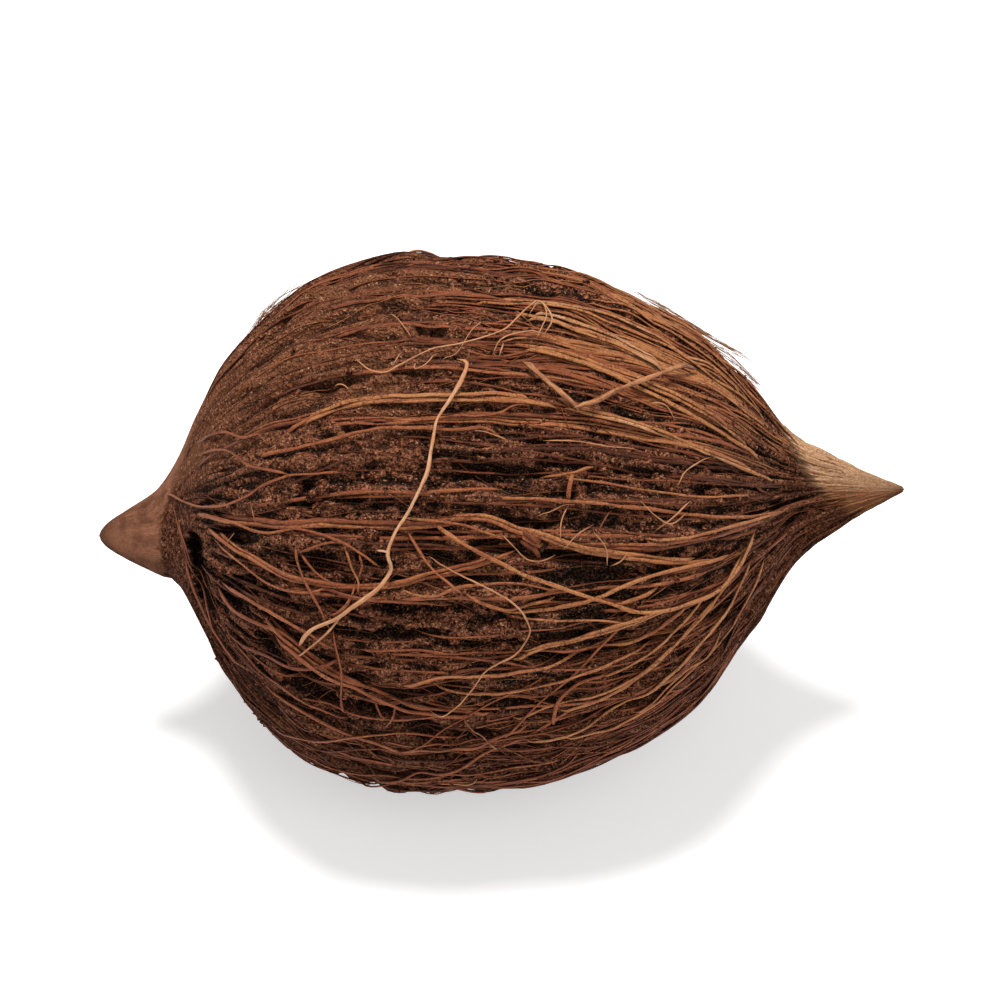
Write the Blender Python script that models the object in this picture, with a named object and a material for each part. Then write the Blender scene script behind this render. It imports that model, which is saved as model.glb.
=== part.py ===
"""Dwarf coconut: a dried fruit that has lost its skin, so that the fibres of its husk show.

The fruit grew as one piece, so it is one solid. Its husk is a lemon shape that lies on its side, with a
blunt stem stub at one end and a pointed beak at the other. Lengthwise strands of fibre stand out of the husk
as ridges, with furrows between them, and thinner strands lie loose across it with their ends sunk in. A
small flat spot underneath is what it rests on.

Run it with blender --background --python part.py, or from the text editor.
"""

import math
import random

import bmesh
import bpy
from mathutils import Vector, noise

# Sizes are in millimetres, and MM turns them into Blender's metres. A place on the husk is "along", the
# distance from the tip of the stem stub towards the beak, and "around", the angle from the top down the
# front.
MM = 0.001
LENGTH = 120.0
GREATEST_RADIUS = 39.4

# The outline: along, and the radius there as a share of the greatest one
OUTLINE = (
    (0.0, 0.010),
    (1.2, 0.045),
    (4.0, 0.090),
    (9.0, 0.158),
    (12.0, 0.232),
    (15.0, 0.372),
    (19.0, 0.560),
    (26.0, 0.768),
    (34.0, 0.910),
    (48.0, 0.992),
    (63.0, 0.966),
    (78.0, 0.842),
    (89.0, 0.672),
    (97.0, 0.441),
    (104.0, 0.221),
    (111.0, 0.116),
    (120.0, 0.006),
)
# The axis isn't straight: along, and how far it is bent towards the upper back
BEND = (
    (0.0, -2.0),
    (8.0, -1.6),
    (15.0, 1.0),
    (24.0, 0.2),
    (46.0, 0.35),
    (70.0, 0.2),
    (80.0, -0.1),
    (89.0, 0.6),
    (97.0, 2.0),
    (104.0, 3.7),
    (120.0, 4.9),
)
THREE_SIDED = 0.02
CREST_ANGLE = math.radians(120)
SWELL = 0.7
SWELL_SPAN = 24.0

# The flat spot underneath, which is the origin
REST_ALONG = 51.0
FLAT_DEPTH = 1.5
AXIS_HEIGHT = GREATEST_RADIUS * (1 - THREE_SIDED) - FLAT_DEPTH
REST_CALM = (math.radians(10), math.radians(28))
REST_RELIEF = 0.25

# Lengthwise strands, each three columns of the husk's mesh wide
STRANDS = 38
PITCH = 2 * math.pi / STRANDS
ROWS = 36
END_CROWDING = 0.6
STRAND_HALF_WIDTH = 1.2
STRAND_HEIGHT = (0.9, 1.8)
STRAND_JITTER = math.radians(1.3)
STRAND_SWAY = math.radians(1.1)
STRAND_WIDEST = 0.22
STRAND_RISE = (-9.0, 12.0)
STRAND_FALL = (-15.0, 3.0)
FURROW_DEPTH = 1.0
CREST_SPAN = 40.0
FURROW_SPAN = 34.0
STUB_END = (12.0, 20.0)
BEAK_START = (104.0, 117.0)

# Loose strands
EYE_ELEVATION = math.radians(38)
EYE_DISTANCE = 414.0
PICTURE_PIXEL = 0.149
PICTURE_CENTRE = (500.0, 500.0)
PICTURE_ALONG = 59.75
PICTURE_RISE = 3.3
ROOT_DEPTH = 1.8
ROUTE_STEP = 6.0
LIFT = 1.0
SEED = 11

# Each strand of the front: its thickness, then its way over the husk as it shows in a picture of 1000 by 1000
# pixels, seen from the front and above
FRONT_STRANDS = {
    "pale": (1.15, ((460, 354), (464, 372), (441, 412), (431, 446), (424, 478), (407, 516), (389, 548),
                    (391, 572), (360, 602), (305, 636), (294, 662))),
    "kinked": (1.25, ((521, 355), (545, 380), (576, 407), (614, 393), (650, 378), (697, 364))),
    "curled": (0.9, ((370, 368), (398, 366), (436, 348), (489, 335), (525, 312), (541, 300), (550, 318))),
    "girdle": (1.5, ((196, 512), (266, 522), (332, 523), (403, 524), (470, 519))),
    "girdle_end": (1.4, ((440, 519), (486, 517), (544, 536), (611, 554), (680, 561), (735, 556))),
    "sling": (1.3, ((204, 524), (234, 547), (291, 578), (359, 587), (430, 576), (473, 565), (518, 548))),
    "low_sling": (1.2, ((215, 584), (242, 598), (269, 620), (300, 648), (338, 674))),
    "slant": (1.1, ((430, 521), (477, 552), (524, 575), (563, 588), (616, 605), (645, 616))),
    "cross": (1.0, ((460, 594), (507, 611), (563, 607), (620, 588), (680, 568), (722, 560))),
    "hook": (1.1, ((606, 606), (645, 613), (687, 604), (720, 585), (746, 548), (756, 532))),
    "low": (1.3, ((508, 662), (544, 647), (601, 632), (640, 620), (674, 606))),
    "lower": (1.1, ((400, 690), (467, 692), (534, 676), (582, 662), (649, 636), (700, 600))),
    "keel": (1.1, ((262, 686), (305, 712), (341, 730), (400, 750), (462, 742), (530, 726))),
    "wavy": (0.9, ((176, 496), (216, 507), (243, 498), (287, 476), (346, 471))),
    "strap": (1.6, ((283, 431), (323, 410), (376, 398), (460, 397), (539, 400), (614, 417), (697, 447),
                    (776, 479))),
    "gold": (1.7, ((520, 314), (579, 328), (614, 341), (668, 368), (705, 395))),
}
# Strands of the other sides: how many, their thickness, and how far they slant and wander
SIDE_STRANDS = 11
SIDE_FROM = math.radians(192)
SIDE_TO = math.radians(345)
SIDE_THICKNESS = (1.0, 1.5)
SIDE_ALONG = (22.0, 62.0)
SIDE_REACH = (26.0, 46.0)
SIDE_SLANT = math.radians(16)

HUSK_COLOUR = (0.105, 0.045, 0.022, 1.0)
HUSK_ROUGHNESS = 0.85


class SmoothCurve:
    """A curve through knots, which never swings past them."""

    def __init__(self, knots):
        self.knots = knots
        steps = [(y1 - y0) / (x1 - x0) for (x0, y0), (x1, y1) in zip(knots, knots[1:])]
        inner = [2 * a * b / (a + b) if a * b > 0 else 0.0 for a, b in zip(steps, steps[1:])]
        self.slopes = [steps[0], *inner, steps[-1]]

    def __call__(self, x):
        for i, ((x0, y0), (x1, y1)) in enumerate(zip(self.knots, self.knots[1:])):
            if x <= x1:
                break
        span = x1 - x0
        t = min(1.0, max(0.0, (x - x0) / span))
        return (
            (1 + 2 * t) * (1 - t) ** 2 * y0
            + t * (1 - t) ** 2 * span * self.slopes[i]
            + t * t * (3 - 2 * t) * y1
            + t * t * (t - 1) * span * self.slopes[i + 1]
        )


outline = SmoothCurve(OUTLINE)
bend = SmoothCurve(BEND)


def smooth_step(low, high, x):
    """0 below low, 1 above high, and a smooth rise between them."""
    t = min(1.0, max(0.0, (x - low) / (high - low)))
    return t * t * (3 - 2 * t)


def outward(around):
    """The direction away from the fruit's axis at that angle."""
    return Vector((0.0, -math.sin(around), math.cos(around)))


BEND_WAY = Vector((0.0, math.sin(EYE_ELEVATION), math.cos(EYE_ELEVATION)))
EYE_FORWARD = Vector((0.0, math.cos(EYE_ELEVATION), -math.sin(EYE_ELEVATION)))


def axis_point(along):
    """A point on the fruit's own bent axis."""
    return Vector((along - REST_ALONG, 0.0, AXIS_HEIGHT)) + BEND_WAY * bend(along)


def radius(along, around):
    """The husk's radius without its strands: three-sided, and gently uneven."""
    girth = outline(along)
    sides = 1 + THREE_SIDED * math.cos(3 * (around - CREST_ANGLE))
    place = Vector((along / SWELL_SPAN, 1.6 * math.cos(around), 1.6 * math.sin(around)))
    return GREATEST_RADIUS * girth * sides + SWELL * girth * noise.noise(place)


def surface_point(along, around, height=0.0):
    """A point on the husk, or that far out from it along its axis's normal."""
    return axis_point(along) + outward(around) * (radius(along, around) + height)


def surface_normal(along, around):
    """The husk's own normal."""
    step = 0.2
    turn = step / max(1.0, radius(along, around))
    lengthwise = surface_point(along + step, around) - surface_point(along - step, around)
    crosswise = surface_point(along, around + turn) - surface_point(along, around - turn)
    return crosswise.cross(lengthwise).normalized()


def calm(along, around):
    """How much of the relief there is: less under the fruit, where it has been pressed flat."""
    off_bottom = abs((around % (2 * math.pi)) - math.pi)
    off_middle = abs(along - REST_ALONG) / LENGTH
    pressed = (1 - smooth_step(*REST_CALM, off_bottom)) * (1 - smooth_step(0.15, 0.3, off_middle))
    return 1 - (1 - REST_RELIEF) * pressed


def lengthwise_strands():
    """For each strand its angle, sway, height, and where along the husk it starts and ends."""
    draw = random.Random(SEED)
    return [
        {
            "angle": k * PITCH + draw.uniform(-STRAND_JITTER, STRAND_JITTER),
            "sway": draw.uniform(0.3, 1.0) * STRAND_SWAY,
            "waves": draw.uniform(1.0, 2.6),
            "phase": draw.uniform(0.0, 2 * math.pi),
            "height": draw.uniform(*STRAND_HEIGHT),
            "start": draw.uniform(*STUB_END),
            "end": draw.uniform(*BEAK_START),
        }
        for k in range(STRANDS)
    ]


def husk_corner(strand, side, along):
    """Where a mesh column meets a row. side is 0 on a strand's crest, and -1 or 1 at its two feet."""
    sway = strand["sway"] * math.sin(strand["waves"] * 2 * math.pi * along / LENGTH + strand["phase"])
    crest = strand["angle"] + sway
    half = min(STRAND_HALF_WIDTH / max(1.0, radius(along, crest)), STRAND_WIDEST * PITCH)
    around = crest + side * half
    risen = smooth_step(strand["start"] + STRAND_RISE[0], strand["start"] + STRAND_RISE[1], along)
    fallen = smooth_step(strand["end"] + STRAND_FALL[0], strand["end"] + STRAND_FALL[1], along)
    shown = risen * (1 - fallen)
    if side == 0:
        thickness = 0.75 + 0.25 * noise.noise(Vector((along / CREST_SPAN, strand["angle"] * 7, 3.0)))
        height = strand["height"] * thickness
    else:
        middle = strand["angle"] + side * PITCH / 2
        furrow = noise.noise(Vector((along / FURROW_SPAN, middle * 5, 9.0)))
        height = -FURROW_DEPTH * (0.5 + 0.5 * furrow)
    return surface_point(along, around, height * shown * calm(along, around))


def husk():
    """The husk: a sphere with its poles at the two tips, drawn out to the fruit's outline and relief."""
    strands = lengthwise_strands()
    columns = 3 * STRANDS
    shape = bmesh.new()
    bmesh.ops.create_uvsphere(shape, u_segments=columns, v_segments=ROWS, radius=1.0)
    for corner in shape.verts:
        column = round(math.atan2(corner.co.y, corner.co.x) / (2 * math.pi) * columns) % columns
        share = math.acos(max(-1.0, min(1.0, corner.co.z))) / math.pi
        crowded = (1 - math.cos(math.pi * share)) / 2
        along = LENGTH * (share + (crowded - share) * END_CROWDING)
        strand = strands[column // 3]
        if abs(corner.co.z) > 1 - 1e-6:
            corner.co = axis_point(along) * MM
        else:
            corner.co = husk_corner(strand, column % 3 - 1, along) * MM
    bmesh.ops.recalc_face_normals(shape, faces=shape.faces)
    mesh = bpy.data.meshes.new("coconut")
    shape.to_mesh(mesh)
    shape.free()
    return bpy.data.objects.new("coconut", mesh)


def place_seen_at(pixel):
    """(along, around) of the husk where a pixel of the picture shows it."""
    across = (pixel[0] - PICTURE_CENTRE[0]) * PICTURE_PIXEL
    up = (PICTURE_CENTRE[1] - pixel[1]) * PICTURE_PIXEL
    target = Vector((PICTURE_ALONG - REST_ALONG, 0.0, AXIS_HEIGHT)) + BEND_WAY * PICTURE_RISE
    eye = target - EYE_FORWARD * EYE_DISTANCE
    sight = (target + Vector((1.0, 0.0, 0.0)) * across + BEND_WAY * up - eye).normalized()
    step = 0.25
    reach = EYE_DISTANCE - 1.5 * GREATEST_RADIUS
    while reach < EYE_DISTANCE + GREATEST_RADIUS:
        point = eye + sight * reach
        along = point.x + REST_ALONG
        off_axis = point - axis_point(along)
        around = math.atan2(-off_axis.y, off_axis.z)
        if off_axis.length < radius(along, around):
            break
        reach += step
    return along, around


def even_route(places):
    """Points about ROUTE_STEP apart on a smooth line through places of the husk."""
    spans = [(surface_point(*a) - surface_point(*b)).length for a, b in zip(places, places[1:])]
    travelled = [sum(spans[:i]) for i in range(len(places))]
    along = SmoothCurve([(d, place[0]) for d, place in zip(travelled, places)])
    around = SmoothCurve([(d, place[1]) for d, place in zip(travelled, places)])
    steps = max(4, round(travelled[-1] / ROUTE_STEP))
    return [(along(travelled[-1] * i / steps), around(travelled[-1] * i / steps)) for i in range(steps + 1)]


def loose_strand(name, thickness, places):
    """A round strand that lies over the husk's ridges, with both ends sunk into it."""
    route = even_route(places)
    points = []
    for i, (along, around) in enumerate(route):
        sunk = i in (0, len(route) - 1)
        height = -ROOT_DEPTH if sunk else LIFT + thickness * 0.25
        points.append(surface_point(along, around) + surface_normal(along, around) * height)
    curve = bpy.data.curves.new(name, "CURVE")
    curve.dimensions = "3D"
    curve.bevel_depth = thickness / 2 * MM
    curve.bevel_resolution = 1
    curve.use_fill_caps = True
    line = curve.splines.new("POLY")
    line.points.add(len(points) - 1)
    for i, (knot, point) in enumerate(zip(line.points, points)):
        knot.co = (*(point * MM), 1.0)
        knot.radius = 0.7 if i in (0, len(points) - 1) else 1.0
    return bpy.data.objects.new(name, curve)


def side_strand_places(draw, number):
    """A gently slanting way over the back, the top or the underside."""
    around = SIDE_FROM + (SIDE_TO - SIDE_FROM) * (number + draw.uniform(0.2, 0.8)) / SIDE_STRANDS
    start = draw.uniform(*SIDE_ALONG)
    reach = draw.uniform(*SIDE_REACH)
    slant = draw.choice((-1, 1)) * draw.uniform(0.4, 1.0) * SIDE_SLANT
    shares = (0.0, 0.3, 0.65, 1.0)
    return [(start + reach * share, around + slant * share + 0.03 * math.sin(9 * share)) for share in shares]


def as_mesh(thing):
    """The curve object's shape as a mesh object with its caps closed, in the curve's place."""
    bpy.context.view_layer.update()
    graph = bpy.context.evaluated_depsgraph_get()
    mesh = bpy.data.meshes.new_from_object(thing.evaluated_get(graph))
    shape = bmesh.new()
    shape.from_mesh(mesh)
    bmesh.ops.remove_doubles(shape, verts=shape.verts, dist=0.00001)
    bmesh.ops.recalc_face_normals(shape, faces=shape.faces)
    shape.to_mesh(mesh)
    shape.free()
    solid = bpy.data.objects.new(thing.name + "_solid", mesh)
    solid.matrix_world = thing.matrix_world
    bpy.data.objects.remove(thing)
    return solid


def loose_strands(collection):
    """All loose strands, as mesh objects in the collection."""
    draw = random.Random(SEED + 1)
    routes = []
    for name, (thickness, pixels) in FRONT_STRANDS.items():
        routes.append((name, thickness, [place_seen_at(pixel) for pixel in pixels]))
    for i in range(SIDE_STRANDS):
        thickness = draw.uniform(*SIDE_THICKNESS)
        routes.append((f"side_{i}", thickness, side_strand_places(draw, i)))
    for name, thickness, places in routes:
        strand = loose_strand(name, thickness, places)
        collection.objects.link(strand)
        collection.objects.link(as_mesh(strand))


def keep_outer_skin(mesh):
    """Fills the small pockets that crossing strands shut in: everything but the largest skin is removed."""
    shape = bmesh.new()
    shape.from_mesh(mesh)
    waiting = set(shape.verts)
    skins = []
    while waiting:
        skin = {waiting.pop()}
        edge_of_skin = list(skin)
        while edge_of_skin:
            corner = edge_of_skin.pop()
            for edge in corner.link_edges:
                other = edge.other_vert(corner)
                if other in waiting:
                    waiting.remove(other)
                    skin.add(other)
                    edge_of_skin.append(other)
        skins.append(skin)
    largest = max(skins, key=len)
    bmesh.ops.delete(shape, geom=[v for v in shape.verts if v not in largest], context="VERTS")
    shape.to_mesh(mesh)
    shape.free()


def fuse(body, collection):
    """Joins the collection's objects to the body, and removes them."""
    join = body.modifiers.new("loose_strands", "BOOLEAN")
    join.operation = "UNION"
    join.operand_type = "COLLECTION"
    join.collection = collection
    join.solver = "EXACT"
    bpy.context.view_layer.update()
    graph = bpy.context.evaluated_depsgraph_get()
    joined = bpy.data.meshes.new_from_object(body.evaluated_get(graph))
    keep_outer_skin(joined)
    body.modifiers.remove(join)
    body.data = joined
    for thing in list(collection.objects):
        bpy.data.objects.remove(thing)
    bpy.data.collections.remove(collection)


def flat_spot_cutter(collection):
    """A slab under the fruit, whose top is the surface that it rests on."""
    size = 3 * GREATEST_RADIUS * MM
    shape = bmesh.new()
    bmesh.ops.create_cube(shape, size=size)
    bmesh.ops.translate(shape, verts=shape.verts, vec=(0.0, 0.0, -size / 2))
    mesh = bpy.data.meshes.new("flat_spot")
    shape.to_mesh(mesh)
    shape.free()
    cutter = bpy.data.objects.new("flat_spot", mesh)
    cutter.hide_render = True
    cutter.display_type = "WIRE"
    collection.objects.link(cutter)
    return cutter


def husk_material():
    """Dry brown husk."""
    material = bpy.data.materials.new("husk")
    material.use_nodes = True
    finish = material.node_tree.nodes["Principled BSDF"]
    finish.inputs["Base Color"].default_value = HUSK_COLOUR
    finish.inputs["Roughness"].default_value = HUSK_ROUGHNESS
    finish.inputs["Metallic"].default_value = 0.0
    return material


def new_collection(name):
    collection = bpy.data.collections.new(name)
    bpy.context.scene.collection.children.link(collection)
    return collection


def main():
    for thing in list(bpy.data.objects):
        bpy.data.objects.remove(thing)
    parts = new_collection("dwarf_coconut")
    cutters = new_collection("cutters")
    repeats = new_collection("loose_strands")

    coconut = husk()
    parts.objects.link(coconut)
    loose_strands(repeats)
    fuse(coconut, repeats)
    coconut.data.shade_smooth()

    cut = coconut.modifiers.new("flat_spot", "BOOLEAN")
    cut.operation = "DIFFERENCE"
    cut.solver = "EXACT"
    cut.object = flat_spot_cutter(cutters)
    coconut.data.materials.clear()
    coconut.data.materials.append(husk_material())


main()
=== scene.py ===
"""Dwarf coconut: the looks of the dried fruit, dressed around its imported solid.

The husk is a fine mesh with the solid's own outline and strands, and with the crumbled pith, cracks and
hollows between them. Fibres run along it from the stem stub to the beak, partly sunk in the pith. Looser
strands, rootlets and hairs lie across it, and crumbs of pith stick to it. Sizes are in millimetres unless
they say otherwise.
"""

import functools
import math
import random

import bmesh
import bpy
import numpy as np
from bpy.props import FloatProperty, FloatVectorProperty, IntProperty, PointerProperty
from mathutils import Euler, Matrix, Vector, noise


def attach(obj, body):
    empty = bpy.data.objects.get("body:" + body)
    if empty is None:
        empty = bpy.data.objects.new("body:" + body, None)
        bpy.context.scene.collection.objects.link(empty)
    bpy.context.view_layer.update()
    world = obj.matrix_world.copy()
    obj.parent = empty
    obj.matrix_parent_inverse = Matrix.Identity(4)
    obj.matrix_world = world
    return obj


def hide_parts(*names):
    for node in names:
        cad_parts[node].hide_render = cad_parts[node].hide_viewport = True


bl_info = {
    "name": "Dwarf Coconut",
    "version": (1, 0, 0),
    "blender": (4, 5, 0),
    "location": "3D View > Sidebar > Coconut",
    "description": "Builds a dried dwarf coconut with its husk and loose fibres, and a plain studio",
    "category": "Add Mesh",
}

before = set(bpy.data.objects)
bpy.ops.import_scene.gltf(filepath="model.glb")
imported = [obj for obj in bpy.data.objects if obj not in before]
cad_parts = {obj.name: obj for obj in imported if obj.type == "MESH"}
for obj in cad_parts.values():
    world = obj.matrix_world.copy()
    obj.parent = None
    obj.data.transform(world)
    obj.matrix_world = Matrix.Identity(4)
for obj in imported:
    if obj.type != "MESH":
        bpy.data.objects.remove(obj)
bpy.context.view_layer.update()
BODY = "root"
NODE = "coconut"
MM = 0.001

# The solid's own shape. A place on the husk is "along", the distance from the tip of the stem stub towards
# the beak, and "around", the angle from the top down the front.
LENGTH = 120.0
GREATEST_RADIUS = 39.4
OUTLINE = (
    (0.0, 0.010), (1.2, 0.045), (4.0, 0.090), (9.0, 0.158), (12.0, 0.232), (15.0, 0.372), (19.0, 0.560),
    (26.0, 0.768), (34.0, 0.910), (48.0, 0.992), (63.0, 0.966), (78.0, 0.842), (89.0, 0.672), (97.0, 0.441),
    (104.0, 0.221), (111.0, 0.116), (120.0, 0.006),
)
BEND = (
    (0.0, -2.0), (8.0, -1.6), (15.0, 1.0), (24.0, 0.2), (46.0, 0.35), (70.0, 0.2), (80.0, -0.1), (89.0, 0.6),
    (97.0, 2.0), (104.0, 3.7), (120.0, 4.9),
)
THREE_SIDED = 0.02
CREST_ANGLE = math.radians(120)
SWELL = 0.7
SWELL_SPAN = 24.0
REST_ALONG = 51.0
FLAT_DEPTH = 1.5
AXIS_HEIGHT = GREATEST_RADIUS * (1 - THREE_SIDED) - FLAT_DEPTH
REST_CALM = (math.radians(10), math.radians(28))
REST_RELIEF = 0.25
STRANDS = 38
PITCH = 2 * math.pi / STRANDS
STRAND_HALF_WIDTH = 1.2
STRAND_HEIGHT = (0.9, 1.8)
STRAND_JITTER = math.radians(1.3)
STRAND_SWAY = math.radians(1.1)
STRAND_WIDEST = 0.22
STRAND_RISE = (-9.0, 12.0)
STRAND_FALL = (-15.0, 3.0)
FURROW_DEPTH = 1.0
CREST_SPAN = 40.0
STUB_END = (12.0, 20.0)
BEAK_START = (104.0, 117.0)
SEED = 11

# The husk's mesh
ROWS = 156
COLUMNS = 640
END_CROWDING = 0.6

# The picture that the ways of the loose strands are given in, 1000 by 1000 pixels, and the eye that sees it
EYE_ELEVATION = math.radians(38)
EYE_DISTANCE = 414.0
PICTURE_PIXEL = 0.149
PICTURE_CENTRE = (500.0, 500.0)
PICTURE_ALONG = 59.75
PICTURE_RISE = 3.3
SENSOR = 36.0
PICTURE_WIDTH = 1000
SIGHT_STEPS = 90

# The fibres: the steps of their ways, how many rings their tubes may have, and how many of them there are
# where no setting gives it
WAY_STEP = 0.7
ROOTLET_STEP = 0.4
TUBE_RINGS = (5, 8, 12, 18, 26, 38, 56, 80)
BEAK_FIBRES = 90
STUB_STRANDS = 28
SHORT_ROOTLETS = 40
LONG_ROOTLETS = 9
HAIRS_ALIKE = 9
RIGHT_HAIR_SHIFT = (3.0, -4.5)
LEFT_HAIR_SHIFT = (-1.5, -2.0)
CRUMBS_ALONG = (17, 97)

# Colours that no setting gives
# Soft pith: calmer and streaked; its lighter colour on the upper side near the stub is partly painted light
# from above
SOFT_PITH_AND_PAINTED_LIGHT = (0.27, 0.105, 0.048, 1.0)
STAIN = (0.060, 0.034, 0.024, 1.0)
# Faint specks seen in the painted shade of the cracks and hollows
SHADED_SPECK = (0.074, 0.044, 0.029, 1.0)
PALE_SPECK = (0.560, 0.300, 0.170, 1.0)
LOWER_BEAK = (0.420, 0.190, 0.085, 1.0)
TAN_FIBRE = (0.430, 0.185, 0.080, 1.0)

# Deep places of the front: where the picture shows their middle, then their half length, half width and depth
HOLLOWS = (
    (195, 546, 1.4, 2.6, 4.2), (198, 572, 1.6, 3.6, 4.6), (205, 598, 2.0, 3.4, 3.2),
    (240, 534, 3.4, 1.1, 2.4), (262, 580, 4.0, 1.0, 1.8), (232, 600, 2.5, 1.0, 1.8),
    (318, 562, 4.5, 1.4, 1.6), (300, 488, 1.4, 0.9, 1.6), (305, 503, 2.2, 0.8, 1.8),
    (330, 498, 1.2, 0.9, 1.5), (352, 502, 3.5, 0.7, 1.7), (378, 508, 2.0, 0.6, 1.3),
    (349, 429, 1.5, 0.8, 1.5), (327, 434, 1.2, 0.6, 1.3), (325, 379, 1.2, 0.6, 1.2),
    (262, 398, 2.5, 0.6, 1.2), (395, 305, 2.0, 0.9, 1.4), (495, 325, 4.2, 0.9, 1.8),
    (432, 331, 2.2, 0.8, 1.5), (448, 357, 2.4, 0.6, 1.3), (425, 450, 0.7, 2.2, 1.3),
    (452, 452, 5.0, 0.7, 1.8), (492, 462, 6.5, 0.8, 1.9), (470, 474, 4.5, 0.5, 1.4),
    (535, 470, 4.0, 0.6, 1.3), (568, 486, 0.6, 1.4, 1.8), (526, 522, 3.0, 0.8, 1.9),
    (500, 548, 4.0, 0.9, 1.6), (575, 556, 4.0, 0.9, 1.9), (604, 556, 2.2, 1.0, 1.9),
    (590, 588, 8.5, 4.4, 1.3), (600, 616, 7.0, 0.8, 1.7), (588, 634, 6.0, 2.6, 1.2),
    (560, 660, 6.0, 0.8, 1.6), (430, 545, 2.5, 2.2, 1.4), (432, 610, 5.0, 1.0, 1.2),
    (395, 636, 8.5, 0.9, 2.0), (338, 628, 3.2, 0.9, 1.8), (470, 650, 5.0, 0.7, 1.2),
    (322, 676, 4.0, 1.0, 1.9), (350, 706, 6.5, 1.3, 2.2), (415, 712, 5.0, 0.8, 1.6),
    (266, 638, 1.6, 1.1, 2.4), (276, 654, 1.8, 1.3, 2.8), (290, 672, 2.0, 1.4, 2.8),
    (306, 688, 2.2, 1.4, 2.8), (326, 702, 2.6, 1.3, 2.6), (380, 714, 6.0, 0.9, 2.2),
    (480, 712, 6.0, 0.8, 1.4), (650, 640, 5.0, 0.7, 1.4), (776, 505, 1.2, 0.8, 1.3),
    (790, 520, 1.4, 0.9, 1.4), (700, 470, 5.0, 0.6, 1.0), (640, 470, 5.0, 0.6, 1.1),
)

# Patches of the front where the pith lies open: where the picture shows their middle, then their half length
# and half width
OPEN_PATCHES = (
    (400, 462, 15.0, 5.5), (500, 440, 14.0, 5.0), (625, 455, 13.0, 6.5), (700, 500, 8.0, 4.0),
    (430, 645, 13.0, 6.0), (500, 700, 10.0, 3.5), (590, 590, 9.0, 5.0), (265, 470, 8.0, 5.0),
    (300, 682, 6.0, 3.0), (400, 735, 12.0, 4.0), (300, 575, 8.0, 4.0), (430, 365, 9.0, 3.5),
)

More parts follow.
